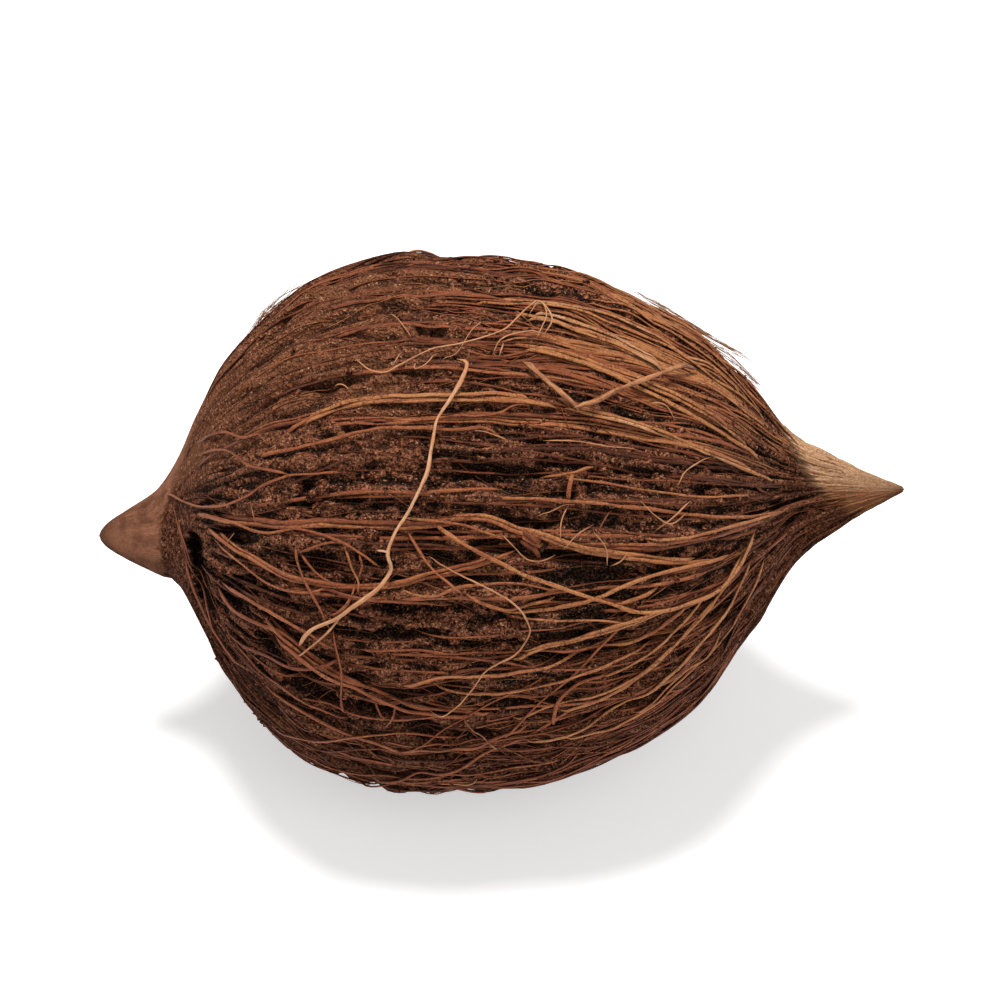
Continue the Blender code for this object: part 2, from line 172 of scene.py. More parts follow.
# Loose strands of the front. Each has its width, how far it lies off the husk, its tone from 0, dark
# red-brown, to 1, pale tan, and its way over the husk in the picture
LOOSE_STRANDS = {
    "girdle": (1.5, 0.35, 0.42, ((196, 512), (234, 520), (266, 523), (332, 523), (403, 525), (460, 521))),
    "girdle_thread": (0.6, 0.6, 0.50, ((200, 513), (234, 523), (266, 533), (296, 529), (316, 533), (341, 542),
        (359, 552), (382, 570))),
    "sling": (1.15, 0.9, 0.52, ((207, 527), (234, 547), (266, 566), (291, 578), (323, 584), (359, 587),
        (394, 585), (430, 575), (473, 565), (515, 550))),
    "sling_thread": (0.5, 0.7, 0.55, ((212, 539), (239, 562), (273, 586), (301, 593), (330, 588))),
    "low_sling": (1.0, 0.5, 0.38, ((216, 589), (234, 611), (257, 623), (273, 629), (300, 648), (338, 674))),
    "low_sling_thread": (0.7, 0.6, 0.45, ((219, 584), (242, 596), (269, 612), (305, 632), (336, 652))),
    "red_strap": (2.0, 0.2, 0.34, ((262, 618), (294, 648), (316, 664), (345, 681), (380, 696), (406, 706),
        (442, 713), (495, 719))),
    "rung": (0.55, 1.0, 0.50, ((294, 545), (303, 577), (312, 595), (323, 616), (330, 634))),
    "rung_two": (0.5, 0.9, 0.55, ((343, 543), (351, 566), (359, 586), (356, 600))),
    "knot_drop": (0.5, 0.9, 0.42, ((332, 632), (338, 655), (342, 676), (341, 700), (346, 722))),
    "strap": (1.3, 0.3, 0.68, ((283, 431), (323, 410), (350, 401), (376, 398), (412, 397), (460, 397),
        (507, 396), (552, 402))),
    "strap_edge": (0.8, 0.35, 0.60, ((300, 424), (350, 405), (412, 401), (507, 401), (560, 406))),
    "strap_end": (1.1, 0.35, 0.62, ((560, 403), (579, 409), (614, 417), (650, 428), (697, 447), (735, 463),
        (776, 479))),
    "gold": (1.9, 0.35, 0.72, ((510, 312), (552, 319), (579, 328), (614, 341), (650, 357), (676, 372))),
    "gold_two": (1.2, 0.3, 0.58, ((505, 337), (552, 349), (600, 366), (650, 385), (700, 410), (752, 446))),
    "gold_three": (1.0, 0.3, 0.56, ((520, 346), (575, 360), (640, 388), (700, 420), (760, 458))),
    "gold_high": (1.1, 0.25, 0.60, ((470, 302), (540, 303), (600, 316), (660, 340), (716, 374), (768, 416))),
    "wavy": (0.55, 0.5, 0.46, ((163, 489), (180, 500), (216, 507), (243, 498), (266, 484), (287, 476),
        (314, 474), (346, 471))),
    "wavy_two": (0.6, 0.4, 0.40, ((200, 450), (228, 451), (246, 464), (269, 470), (291, 474))),
    "wavy_three": (0.7, 0.4, 0.42, ((196, 441), (226, 432), (243, 437), (264, 430))),
    "wavy_four": (0.8, 0.4, 0.40, ((258, 456), (296, 448), (341, 437), (368, 430), (412, 428), (459, 430),
        (482, 428), (502, 436))),
    "girdle_end": (1.3, 0.5, 0.52, ((440, 519), (486, 518), (515, 529), (544, 536), (572, 546), (611, 554),
        (649, 559), (680, 561), (706, 560), (731, 556))),
    "girdle_split": (0.6, 0.5, 0.48, ((400, 518), (434, 521), (457, 524), (486, 532), (505, 541))),
    "slant": (0.85, 0.9, 0.54, ((433, 523), (454, 538), (477, 552), (500, 563), (524, 575), (563, 588),
        (591, 598), (616, 605), (645, 616))),
    "thread_l": (0.6, 0.7, 0.52, ((400, 592), (438, 596), (457, 588), (486, 584), (534, 586), (560, 592))),
    "thread_m": (0.7, 0.7, 0.50, ((462, 594), (486, 605), (507, 610), (534, 603), (556, 600))),
    "cross": (0.85, 0.8, 0.56, ((496, 613), (534, 611), (563, 607), (591, 600), (620, 588), (649, 577),
        (680, 569), (722, 560))),
    "cross_end": (1.0, 0.6, 0.52, ((608, 608), (639, 598), (660, 589))),
    "hook": (0.9, 0.6, 0.56, ((612, 606), (645, 613), (658, 612), (687, 604), (712, 595), (735, 572),
        (748, 550), (756, 532))),
    "low": (1.1, 0.6, 0.60, ((508, 662), (544, 647), (572, 642), (601, 632), (630, 624), (674, 606))),
    "thread_r": (0.45, 0.6, 0.55, ((500, 615), (534, 619), (572, 621), (611, 622), (642, 628))),
    "drop": (0.65, 0.9, 0.46, ((406, 527), (419, 550), (434, 571), (450, 584), (466, 598))),
    "lower": (0.8, 0.4, 0.50, ((400, 690), (438, 678), (496, 676), (534, 670), (582, 661), (611, 651),
        (649, 634), (690, 606))),
    "lower_two": (0.7, 0.35, 0.50, ((429, 688), (467, 693), (505, 693), (550, 684), (600, 668), (650, 645))),
    "sweep": (0.8, 0.45, 0.58, ((520, 745), (570, 732), (620, 712), (664, 680), (700, 644), (732, 600),
        (752, 562))),
    "sweep_two": (0.9, 0.4, 0.55, ((556, 716), (600, 700), (640, 676), (684, 636), (716, 600), (742, 556))),
    "sweep_three": (0.7, 0.4, 0.50, ((560, 742), (620, 724), (670, 694), (712, 652), (744, 606), (766, 560))),
    "sweep_four": (0.6, 0.5, 0.62, ((596, 680), (634, 664), (660, 646), (684, 622), (706, 596))),
    "sweep_five": (0.6, 0.5, 0.52, ((508, 722), (560, 706), (610, 690), (650, 668), (690, 628), (722, 590))),
    "keel": (0.8, 0.35, 0.40, ((262, 686), (286, 701), (305, 712), (341, 730), (374, 742), (400, 751),
        (460, 744), (530, 728))),
    "keel_two": (0.6, 0.35, 0.42, ((270, 731), (300, 738), (332, 741), (359, 737), (403, 733), (470, 736))),
    "keel_three": (0.6, 0.3, 0.36, ((230, 640), (262, 672), (300, 700), (352, 722))),
    "stub_thread": (0.5, 0.4, 0.40, ((172, 503), (177, 520), (183, 545), (190, 570), (197, 592), (205, 612),
        (216, 640))),
    "stub_thread_two": (0.45, 0.3, 0.34, ((177, 516), (184, 540), (191, 565), (199, 590), (209, 612))),
    "left_edge": (0.8, 0.4, 0.42, ((184, 560), (194, 590), (206, 618), (222, 645), (244, 672))),
    "dark_thread": (0.45, 0.4, 0.36, ((400, 423), (454, 416), (500, 412), (516, 405), (534, 404))),
    "middle_thread": (0.55, 0.3, 0.42, ((560, 477), (610, 484), (660, 492), (712, 497), (752, 494))),
    "middle_two": (0.75, 0.4, 0.36, ((495, 498), (530, 499), (590, 503), (640, 508), (692, 515), (745, 517),
        (786, 511))),
    "middle_three": (0.6, 0.5, 0.44, ((540, 477), (556, 475), (571, 473), (597, 464))),
    "upper_sweep": (0.6, 0.5, 0.44, ((646, 539), (676, 539), (714, 532), (744, 523), (780, 513))),
    "crook": (0.9, 0.5, 0.26, ((553, 732), (554, 718), (557, 704), (567, 692), (587, 681), (612, 675))),
    "sweep_six": (0.7, 0.4, 0.44, ((629, 717), (658, 700), (686, 678), (708, 657), (722, 632))),
    "rung_three": (0.55, 0.8, 0.46, ((298, 552), (313, 570), (327, 581), (340, 587))),
    "rung_four": (0.55, 0.9, 0.50, ((355, 583), (353, 593), (347, 605), (327, 620))),
    "rung_five": (0.45, 0.8, 0.46, ((358, 553), (362, 567), (357, 582))),
    "rung_six": (0.45, 0.6, 0.42, ((295, 555), (313, 547), (334, 542), (352, 545))),
    "low_hook": (0.5, 0.6, 0.34, ((374, 696), (378, 710), (384, 720), (392, 722))),
    "low_hook_two": (0.5, 0.6, 0.34, ((396, 708), (392, 721), (382, 731))),
    "bar": (1.0, 0.9, 0.26, ((573, 470), (570, 486), (568, 503))),
    "flake": (2.3, 0.9, 0.20, ((519, 533), (532, 541), (545, 549))),
    "flake_point": (1.0, 1.0, 0.22, ((528, 543), (535, 550), (540, 560))),
}
PALE_STRANDS = {
    "pale": (0.95, 1.2, 0.86, ((457, 355), (467, 362), (462, 378), (450, 400), (437, 419), (432, 444),
        (427, 471), (411, 507), (391, 541), (388, 554), (392, 568), (382, 584), (359, 602), (337, 618),
        (305, 636), (299, 650))),
    "pale_fork": (0.55, 1.0, 0.80, ((345, 612), (328, 632), (309, 648), (293, 663))),
    "pale_spur": (0.5, 1.4, 0.80, ((376, 551), (384, 551), (390, 555))),
    "kinked_left": (1.3, 1.1, 0.44, ((522, 357), (539, 374), (561, 393), (579, 407))),
    "kinked_right": (1.2, 1.5, 0.50, ((572, 405), (593, 402), (614, 392), (650, 378), (680, 367),
        (697, 363))),
    "curled": (0.42, 1.1, 0.88, ((355, 355), (368, 369), (385, 372), (398, 366), (436, 348), (460, 343),
        (489, 335), (507, 328), (525, 310), (539, 300), (548, 309), (552, 321), (543, 332))),
    "curled_two": (0.36, 1.3, 0.88, ((528, 309), (540, 300), (547, 313), (543, 325), (536, 334))),
    "curled_three": (0.36, 1.0, 0.86, ((545, 330), (525, 331), (507, 336), (500, 341), (493, 351))),
    "curled_tail": (0.32, 1.0, 0.86, ((503, 338), (502, 346), (499, 353))),
    "curled_spur": (0.3, 0.9, 0.82, ((392, 366), (398, 358), (402, 350))),
    "curled_spur_two": (0.3, 0.9, 0.80, ((416, 358), (414, 369), (422, 366), (438, 350))),
    "thin_pale": (0.4, 0.9, 0.80, ((429, 557), (457, 573), (486, 588), (515, 605), (526, 619), (530, 632),
        (519, 651), (486, 672), (471, 691), (457, 707), (440, 716), (428, 713))),
    "rootlet_a": (0.32, 0.9, 0.74, ((593, 531), (607, 550), (608, 567))),
    "rootlet_b": (0.34, 0.9, 0.76, ((594, 524), (576, 536), (563, 550))),
    "rootlet_c": (0.3, 0.8, 0.62, ((569, 504), (562, 518), (561, 544))),
    "rootlet_d": (0.34, 0.8, 0.72, ((639, 499), (658, 518), (670, 524), (688, 512))),
    "rootlet_e": (0.36, 0.8, 0.74, ((691, 500), (674, 516), (654, 532))),
    "rootlet_f": (0.34, 0.9, 0.80, ((712, 455), (698, 463), (685, 472), (677, 486))),
    "rootlet_g": (0.3, 0.7, 0.70, ((649, 400), (666, 405), (675, 419))),
    "rootlet_i": (0.3, 0.7, 0.62, ((471, 429), (486, 432), (500, 437), (511, 441))),
    "rootlet_j": (0.3, 0.7, 0.72, ((543, 439), (579, 442), (610, 446), (641, 449))),
    "rootlet_k": (0.34, 0.9, 0.66, ((610, 567), (622, 560), (628, 552))),
    "rootlet_l": (0.3, 0.8, 0.70, ((500, 532), (515, 548), (528, 560), (540, 562), (556, 556))),
    "rootlet_m": (0.32, 0.8, 0.66, ((234, 533), (228, 541), (224, 548))),
    "rootlet_n": (0.32, 0.9, 0.60, ((250, 500), (253, 512), (256, 524))),
}
# Hairs that stand off the silhouette, as they show in the picture
EDGE_HAIRS = {
    "right_a": ((628, 296), (662, 313), (697, 336), (722, 352), (746, 365)),
    "right_b": ((640, 301), (680, 324), (712, 345), (739, 358)),
    "right_c": ((668, 322), (700, 344), (728, 362), (750, 382), (759, 391)),
    "right_d": ((690, 342), (718, 360), (742, 378), (755, 392)),
    "right_e": ((700, 358), (726, 373), (746, 388)),
    "left_a": ((198, 436), (204, 416), (216, 391), (231, 366)),
    "left_b": ((203, 420), (218, 386), (240, 352), (268, 311)),
    "left_c": ((256, 330), (268, 312), (286, 298), (305, 284)),
    "left_d": ((262, 322), (272, 314), (284, 300)),
}

# Clods and crumbs that the picture shows: where, and how big
CLODS = (
    (343, 694, 1.3), (294, 489, 1.3), (303, 486, 1.1), (311, 497, 1.2), (323, 489, 1.2), (298, 503, 1.1),
    (287, 500, 1.0), (317, 508, 1.0), (330, 500, 0.9), (371, 535, 1.2), (378, 530, 1.0), (526, 540, 1.6),
    (533, 545, 1.8), (540, 541, 1.4), (534, 552, 1.4), (500, 625, 1.2), (513, 630, 1.2),
)
CRUMBS = ((460, 703, 0.4), (427, 711, 0.4), (421, 708, 0.3), (214, 469, 0.4))


def count_setting(name, description, default, most):
    """How many of something there are."""
    return IntProperty(name=name, description=description, default=default, min=1, max=most)


def colour_setting(name, description, *shade):
    """A colour, by its red, green and blue."""
    return FloatVectorProperty(
        name=name, description=description, subtype="COLOR", size=4, default=(*shade, 1.0), min=0.0, max=1.0
    )


def power_setting(name, description, default):
    """A lamp's power."""
    return FloatProperty(name=name, description=description, default=default, min=0.0, unit="POWER")


class CoconutSettings(bpy.types.PropertyGroup):
    """What a user would change about the coconut and its studio."""

    relief: FloatProperty(
        name="Relief", description="Depth of the husk's cracks and hollows, as a share of the real one",
        default=1.0, min=0.0, max=1.5, subtype="FACTOR",
    )
    crest_fibres: count_setting("Crest Fibres", "Fibres side by side on each lengthwise strand", 4, 6)
    husk_fibres: count_setting("Husk Fibres", "Fibres that lie in the pith between the strands", 420, 700)
    fine_fibres: count_setting("Fine Fibres", "Short thin fibres all over the husk", 1700, 3000)
    straps: count_setting("Straps", "Flat bundles of fibres that come together on the beak", 60, 120)
    net_strands: count_setting("Net Strands", "Loose strands that cross the others", 130, 200)
    clods: count_setting("Clods", "Clods of pith that stick to the husk in patches", 3200, 4000)
    crumbs: count_setting("Crumbs", "Crumbs of pith on the husk", 6800, 9500)
    pith_colour: colour_setting("Pith", "Colour of the pith between the fibres", 0.185, 0.053, 0.024)
    grain_colour: colour_setting("Pith Grains", "Colour of the palest grains of pith", 0.430, 0.168, 0.088)
    # Near-black painted shade, down in the cracks and hollows
    crack_shade_colour: colour_setting("Dark Pith", "Colour down in the cracks and hollows", 0.010, 0.0045, 0.003)
    red_colour: colour_setting("Red Fibre", "Colour of the darkest fibres", 0.125, 0.031, 0.011)
    russet_colour: colour_setting("Russet Fibre", "Colour of most fibres", 0.305, 0.086, 0.032)
    golden_colour: colour_setting("Golden Fibre", "Colour of the fibres above the beak", 0.460, 0.186, 0.066)
    pale_colour: colour_setting("Pale Fibre", "Colour of the palest loose fibres", 0.590, 0.325, 0.180)
    stub_colour: colour_setting("Stem Stub", "Colour of the stem stub's skin", 0.430, 0.178, 0.098)
    beak_colour: colour_setting("Beak", "Colour of the beak's upper side", 0.600, 0.345, 0.190)
    floor_colour: colour_setting("Floor", "Colour of the floor", 0.75, 0.75, 0.75)
    key_power: power_setting("Key Light", "Power of the light above", 10.5)
    front_power: power_setting("Front Light", "Power of the weaker light in front", 3.0)
    sky_strength: FloatProperty(
        name="Sky", description="Strength of the even light all round", default=0.3, min=0.0
    )
    floor_glow: FloatProperty(
        name="Floor Glow", description="Light that the floor gives off, which softens the shadow on it",
        default=0.5, min=0.0,
    )


def curve_through(x, knots, values, slopes):
    """A smooth curve through knots, with those values and slopes, read at x."""
    i = np.clip(np.searchsorted(knots, x) - 1, 0, len(knots) - 2)
    span = knots[i + 1] - knots[i]
    t = np.clip((x - knots[i]) / span, 0.0, 1.0)
    start = (1 + 2 * t) * (1 - t) ** 2 * values[i] + t * (1 - t) ** 2 * span * slopes[i]
    return start + t * t * (3 - 2 * t) * values[i + 1] + t * t * (t - 1) * span * slopes[i + 1]


class SmoothCurve:
    """A curve through knots, which never swings past them."""

    def __init__(self, knots):
        self.x, self.y = np.array(knots, float).T
        steps = np.diff(self.y) / np.diff(self.x)
        product = steps[:-1] * steps[1:]
        total = np.where(product > 0, steps[:-1] + steps[1:], 1.0)
        inner = np.where(product > 0, 2 * product / total, 0.0)
        self.slopes = np.concatenate((steps[:1], inner, steps[-1:]))

    def __call__(self, x):
        return curve_through(x, self.x, self.y, self.slopes)


outline = SmoothCurve(OUTLINE)
bend = SmoothCurve(BEND)
BEND_WAY = np.array((0.0, math.sin(EYE_ELEVATION), math.cos(EYE_ELEVATION)))
EYE_FORWARD = np.array((0.0, math.cos(EYE_ELEVATION), -math.sin(EYE_ELEVATION)))
EYE_RIGHT = np.array((1.0, 0.0, 0.0))
TARGET = np.array((PICTURE_ALONG - REST_ALONG, 0.0, AXIS_HEIGHT)) + BEND_WAY * PICTURE_RISE
EYE = TARGET - EYE_FORWARD * EYE_DISTANCE
SHARES = np.arange(ROWS + 1) / ROWS
ROW_ALONG = LENGTH * (SHARES + ((1 - np.cos(np.pi * SHARES)) / 2 - SHARES) * END_CROWDING)
COLUMN_AROUND = 2 * np.pi * np.arange(COLUMNS) / COLUMNS


def smooth_step(low, high, x):
    """0 below low, 1 above high, and a smooth rise between them."""
    t = np.clip((x - low) / (high - low), 0.0, 1.0)
    return t * t * (3 - 2 * t)


def half_turn(angle):
    """The angle, brought between half a turn back and half a turn on."""
    return (angle + np.pi) % (2 * np.pi) - np.pi


def outward(around):
    """The direction away from the fruit's axis at those angles."""
    return np.stack((np.zeros_like(around), -np.sin(around), np.cos(around)), axis=-1)


def axis_point(along):
    """Points on the fruit's own bent axis."""
    straight = np.stack((along - REST_ALONG, np.zeros_like(along), np.full_like(along, AXIS_HEIGHT)), axis=-1)
    return straight + BEND_WAY * bend(along)[..., None]


def noise_at(x, y, z):
    """Smooth noise, about -1 to 1, at points given by their three coordinates."""
    x, y, z = np.broadcast_arrays(x, y, z)
    return np.array([noise.noise(place) for place in zip(x.flat, y.flat, z.flat)]).reshape(x.shape)


def blotches(along, around, long, wide, layer):
    """Noise over the husk whose blotches are that long and wide. Each layer is another pattern."""
    reach = GREATEST_RADIUS / wide
    shift = 13.7 * layer
    return noise_at(along / long + shift, reach * np.cos(around) + shift, reach * np.sin(around) - shift)


def lower_rim_shade(around):
    """Painted shade along the husk's lower rim, as the picture shows it: 1 there, and 0 above that."""
    return smooth_step(0.56, 1.0, -np.cos(around + EYE_ELEVATION))


def calm(along, around):
    """How much of the relief there is: less under the fruit, where it has been pressed flat."""
    off_bottom = np.abs(around % (2 * np.pi) - np.pi)
    off_middle = np.abs(along - REST_ALONG) / LENGTH
    pressed = (1 - smooth_step(*REST_CALM, off_bottom)) * (1 - smooth_step(0.15, 0.3, off_middle))
    return 1 - (1 - REST_RELIEF) * pressed


@functools.lru_cache
def lengthwise_strands():
    """For each strand its angle, sway, height, and where along the husk it starts and ends."""
    draw = random.Random(SEED)
    return [
        {
            "angle": k * PITCH + draw.uniform(-STRAND_JITTER, STRAND_JITTER),
            "sway": draw.uniform(0.3, 1.0) * STRAND_SWAY,
            "waves": draw.uniform(1.0, 2.6),
            "phase": draw.uniform(0.0, 2 * math.pi),
            "height": draw.uniform(*STRAND_HEIGHT),
            "start": draw.uniform(*STUB_END),
            "end": draw.uniform(*BEAK_START),
        }
        for k in range(STRANDS)
    ]


def crest_angle(strand, along):
    """The angle of a lengthwise strand's crest, all along it."""
    turn = strand["waves"] * 2 * np.pi * along / LENGTH + strand["phase"]
    return strand["angle"] + strand["sway"] * np.sin(turn)


class Skin:
    """The husk's surface as tables of rows and columns: its bare radius, its relief and its shades."""

    def __init__(self, strength):
        along, around = np.meshgrid(ROW_ALONG, COLUMN_AROUND, indexing="ij")
        girth = outline(along)
        swell = noise_at(along / SWELL_SPAN, 1.6 * np.cos(around), 1.6 * np.sin(around))
        sides = 1 + THREE_SIDED * np.cos(3 * (around - CREST_ANGLE))
        self.bare = GREATEST_RADIUS * girth * sides + SWELL * girth * swell
        strands = self.strand_relief(along, around)
        self.strand = strands / STRAND_HEIGHT[1]

        wander = 0.035 * blotches(along, around, 26, 17, 1) + 0.012 * blotches(along, around, 7, 6, 2)
        bent = around + wander
        self.up = np.cos(around + EYE_ELEVATION)
        self.soft = (1 - smooth_step(38, 72, along)) * smooth_step(0.05, 0.55, self.up)
        rim = smooth_step(0.62, 0.9, -self.up) * smooth_step(-0.25, 0.2, blotches(along, around, 40, 18, 22))
        self.soft = np.maximum(self.soft, 0.6 * rim)
        ragged_edge = 0.5 * blotches(along, around, 9, 5, 16)
        self.stub_edge = 10.0 + 4.5 * smooth_step(0.2, 0.95, self.up) + ragged_edge
        husky = smooth_step(0.0, 6.0, along - self.stub_edge)
        body = smooth_step(3.0, 11.0, along - self.stub_edge) * (1 - smooth_step(99, 112, along))
        slack = np.clip(girth * 2.2, 0.15, 1.0)
        under = calm(along, around)

        bundles = blotches(along, bent, 17, 2.3, 3)
        threads = blotches(along, bent, 9, 1.0, 4)
        lumps = blotches(along, bent, 7, 5, 5)
        grit = blotches(along, bent, 1.5, 1.3, 6) + 0.7 * blotches(along, bent, 0.9, 0.8, 7)

        clods = np.abs(blotches(along, bent, 4.2, 2.8, 17))
        small_clods = np.abs(blotches(along, bent, 2.1, 1.5, 18))
        crumbly = 1 - 0.85 * self.soft

        crack_line = np.abs(blotches(along, bent, 15, 4.2, 8))
        crack_gate = smooth_step(0.0, 0.25, blotches(along, bent, 22, 11, 9))
        cracks = (1 - smooth_step(0.02, 0.12, crack_line)) * crack_gate
        fine_line = np.abs(blotches(along, bent, 9, 2.0, 10))
        fine_gate = smooth_step(0.0, 0.25, blotches(along, bent, 16, 8, 11))
        fine_cracks = (1 - smooth_step(0.04, 0.18, fine_line)) * fine_gate
        hollows = smooth_step(0.4, 0.62, blotches(along, bent, 13, 4.2, 12) + 0.2 * lumps)
        pits = smooth_step(0.38, 0.6, blotches(along, around, 3.2, 2.4, 13)) * smooth_step(
            0.1, 0.4, blotches(along, around, 18, 14, 14)
        )
        depth, shade = self.front_hollows(along, bent, 0.5 * threads + 0.45 * lumps + 0.5 * clods)

        crumbled = 0.3 * bundles + 0.24 * threads + 0.4 * lumps + 0.24 * grit
        crumbled += crumbly * (1.6 * clods + 1.0 * small_clods - 0.5)
        opened = -1.3 * cracks - 0.7 * fine_cracks - 1.6 * hollows - 0.9 * pits
        furrow = -FURROW_DEPTH * (0.5 + 0.5 * blotches(along, around, 34, 9, 15)) * husky
        between_strands = furrow * body + crumbled * husky + opened * body * strength
        self.relief = under * (strands + slack * between_strands)
        at_tips = 0.1 * threads * (1 - husky) * smooth_step(1, 5, along)
        cap = 0.12 * (1 - smooth_step(-0.5, 0.3, along - self.stub_edge)) * smooth_step(3, 8, along)
        groove = 0.3 * np.exp(-(((along - self.stub_edge - 0.8) / 0.6) ** 2)) * (self.up < 0.6)
        self.relief += slack * at_tips + cap - groove - depth * strength
        self.relief = np.maximum(self.relief, -0.33 * self.bare)

        # The shade painted into the husk's colour: in its cracks, hollows and pits, between its clods, where
        # its relief lies low or sunk, in the front's deep places and in the stub's groove.
        creases = 0.5 * (1 - smooth_step(0.0, 0.14, clods)) + 0.3 * (1 - smooth_step(0.0, 0.2, small_clods))
        dark = (0.8 * cracks + 0.5 * fine_cracks + 0.75 * hollows + 0.6 * pits) * (1 - 0.5 * self.soft)
        dark += crumbly * creases
        low = smooth_step(0.2, 1.6, -(self.relief - 0.6 * strands))
        # Raised places get painted light, and sunk ones painted shade
        standing = (self.relief - self.spread_out(self.relief, 2, 4)) / 0.32
        self.ridge = np.clip(standing, 0, 1) * body
        sunken = np.clip(-standing, 0, 1)
        self.hollow_shade = np.clip((0.75 * dark + 0.2 * low + 0.6 * sunken) * body + shade + groove, 0, 1)
        self.gap = depth * (along < 17)
        self.open = np.maximum(0.8 * self.open_patches(along, bent), 0.7 * self.soft)

    def front_hollows(self, along, around, ragged):
        """How deep the front's deep places are, and how much shade is painted in them."""
        spots = np.array(HOLLOWS)
        middles, angles, _ = self.place_seen_at(spots[:, :2], 0.0)
        depth = np.zeros_like(along)
        shade = np.zeros_like(along)
        for middle, angle, (_, _, half_length, half_width, deep) in zip(middles, angles, HOLLOWS):
            reach = self.reach_from(middle, angle, along, around, half_length, half_width)
            shape = 1 - smooth_step(0.5, 1.4, reach * (1 + 1.3 * ragged))
            depth = np.maximum(depth, deep * shape)
            shade = np.maximum(shade, min(1.0, 0.15 + 0.4 * deep) * shape)
        return depth, shade

    def reach_from(self, middle, angle, along, around, half_length, half_width):
        """How far off a spot each place is: 0 at its middle, and 1 at the rim of the oval of that size."""
        off = half_turn(around - angle)
        return ((along - middle) / half_length) ** 2 + (off * self.bare / half_width) ** 2

    @staticmethod
    def spread_out(table, rows, columns):
        """The table's running mean over that many rows and columns each way."""
        total = sum(np.roll(table, shift, axis=1) for shift in range(-columns, columns + 1))
        padded = np.pad(total / (2 * columns + 1), ((rows, rows), (0, 0)), mode="edge")
        return sum(padded[shift:shift + len(table)] for shift in range(2 * rows + 1)) / (2 * rows + 1)

    def open_patches(self, along, around):
        """Where the pith lies open, with few fibres: 1 in the middle of such a patch."""
        spots = np.array(OPEN_PATCHES)
        middles, angles, _ = self.place_seen_at(spots[:, :2], 0.0)
        patches = smooth_step(0.12, 0.36, blotches(along, around, 30, 13, 21)) * (self.up < -0.9)
        for middle, angle, (_, _, half_length, half_width) in zip(middles, angles, OPEN_PATCHES):
            reach = self.reach_from(middle, angle, along, around, half_length, half_width)
            patches = np.maximum(patches, 1 - smooth_step(0.6, 1.4, reach))
        return patches

    @staticmethod
    def strand_relief(along, around):
        """The lengthwise strands as ridges."""
        relief = np.zeros_like(around)
        rows = along[:, :1]
        for strand in lengthwise_strands():
            off = np.abs(half_turn(around - crest_angle(strand, rows)))
            radius = np.maximum(1.0, GREATEST_RADIUS * outline(rows))
            half = np.minimum(STRAND_HALF_WIDTH / radius, STRAND_WIDEST * PITCH)
            risen = smooth_step(strand["start"] + STRAND_RISE[0], strand["start"] + STRAND_RISE[1], rows)
            fallen = smooth_step(strand["end"] + STRAND_FALL[0], strand["end"] + STRAND_FALL[1], rows)
            thickness = 0.75 + 0.25 * noise_at(rows / CREST_SPAN, strand["angle"] * 7, 3.0)
            ridge = 0.5 + 0.5 * np.cos(np.pi * np.minimum(1.0, off / (1.35 * half)))
            relief = np.maximum(relief, strand["height"] * thickness * risen * (1 - fallen) * ridge)
        return relief

    def sample(self, table, along, around):
        """The table's value at any places, read between its rows and columns."""
        row = np.interp(along, ROW_ALONG, np.arange(ROWS + 1))
        column = (around / (2 * np.pi) * COLUMNS) % COLUMNS
        r = np.minimum(row.astype(int), ROWS - 1)
        c = column.astype(int) % COLUMNS
        d = (c + 1) % COLUMNS
        s, t = row - r, column - np.floor(column)
        upper = table[r, c] * (1 - t) + table[r, d] * t
        lower = table[r + 1, c] * (1 - t) + table[r + 1, d] * t
        return upper * (1 - s) + lower * s

    def point(self, along, around, height):
        """Points that far out from the bare husk."""
        radius = self.sample(self.bare, along, around) + height
        return axis_point(along) + outward(around) * radius[..., None]

    def normal(self, along, around):
        """The bare husk's own normals."""
        step = 0.8
        rise = self.sample(self.bare, along + step, around) - self.sample(self.bare, along - step, around)
        slope = rise / (2 * step)
        return unit(outward(around) - slope[..., None] * EYE_RIGHT)

    def place_seen_at(self, pixels, height):
        """Where rays through the picture's pixels meet the husk, that far out, and which of them do."""
        sight = rays(pixels)
        reach = np.full(len(pixels), EYE_DISTANCE - 1.4 * GREATEST_RADIUS)
        for _ in range(SIGHT_STEPS):
            point = EYE + sight * reach[:, None]
            along = np.clip(point[:, 0] + REST_ALONG, 0.0, LENGTH)
            off = point - axis_point(along)
            around = np.arctan2(-off[:, 1], off[:, 2])
            gap = np.linalg.norm(off, axis=1) - self.sample(self.bare, along, around) - height
            reach += np.clip(0.6 * gap, -0.5, 4.0)
        return along, around, np.abs(gap) < 0.2


def unit(vectors):
    return vectors / np.maximum(np.linalg.norm(vectors, axis=-1, keepdims=True), 1e-9)


def rays(pixels):
    """The directions in which the eye sees the picture's pixels."""
    pixels = np.asarray(pixels, float)
    across = (pixels[:, 0] - PICTURE_CENTRE[0]) * PICTURE_PIXEL
    up = (PICTURE_CENTRE[1] - pixels[:, 1]) * PICTURE_PIXEL
    return unit(TARGET + EYE_RIGHT * across[:, None] + BEND_WAY * up[:, None] - EYE)


@functools.lru_cache
def skin():
    """The husk's surface, worked out once."""
    return Skin(bpy.context.scene.coconut.relief)


class Number:
    """A number that varies over a surface: a node's output socket. Python's operators add Math nodes."""

    def __init__(self, finish, socket):
        self.finish = finish
        self.socket = socket

    def __add__(self, other):
        return self.finish.math("ADD", self, other)

    def __sub__(self, other):
        return self.finish.math("SUBTRACT", self, other)

    def __rsub__(self, other):
        return self.finish.math("SUBTRACT", other, self)

    def __mul__(self, other):
        return self.finish.math("MULTIPLY", self, other)

    __radd__ = __add__
    __rmul__ = __mul__

    def between(self, low, high):
        """0 below low, 1 above high, and a smooth rise between them."""
        ramp = self.finish.node(
            "ShaderNodeMapRange",
            {"interpolation_type": "SMOOTHSTEP"},
            {"Value": self, "From Min": low, "From Max": high},
        )
        return Number(self.finish, ramp.outputs["Result"])


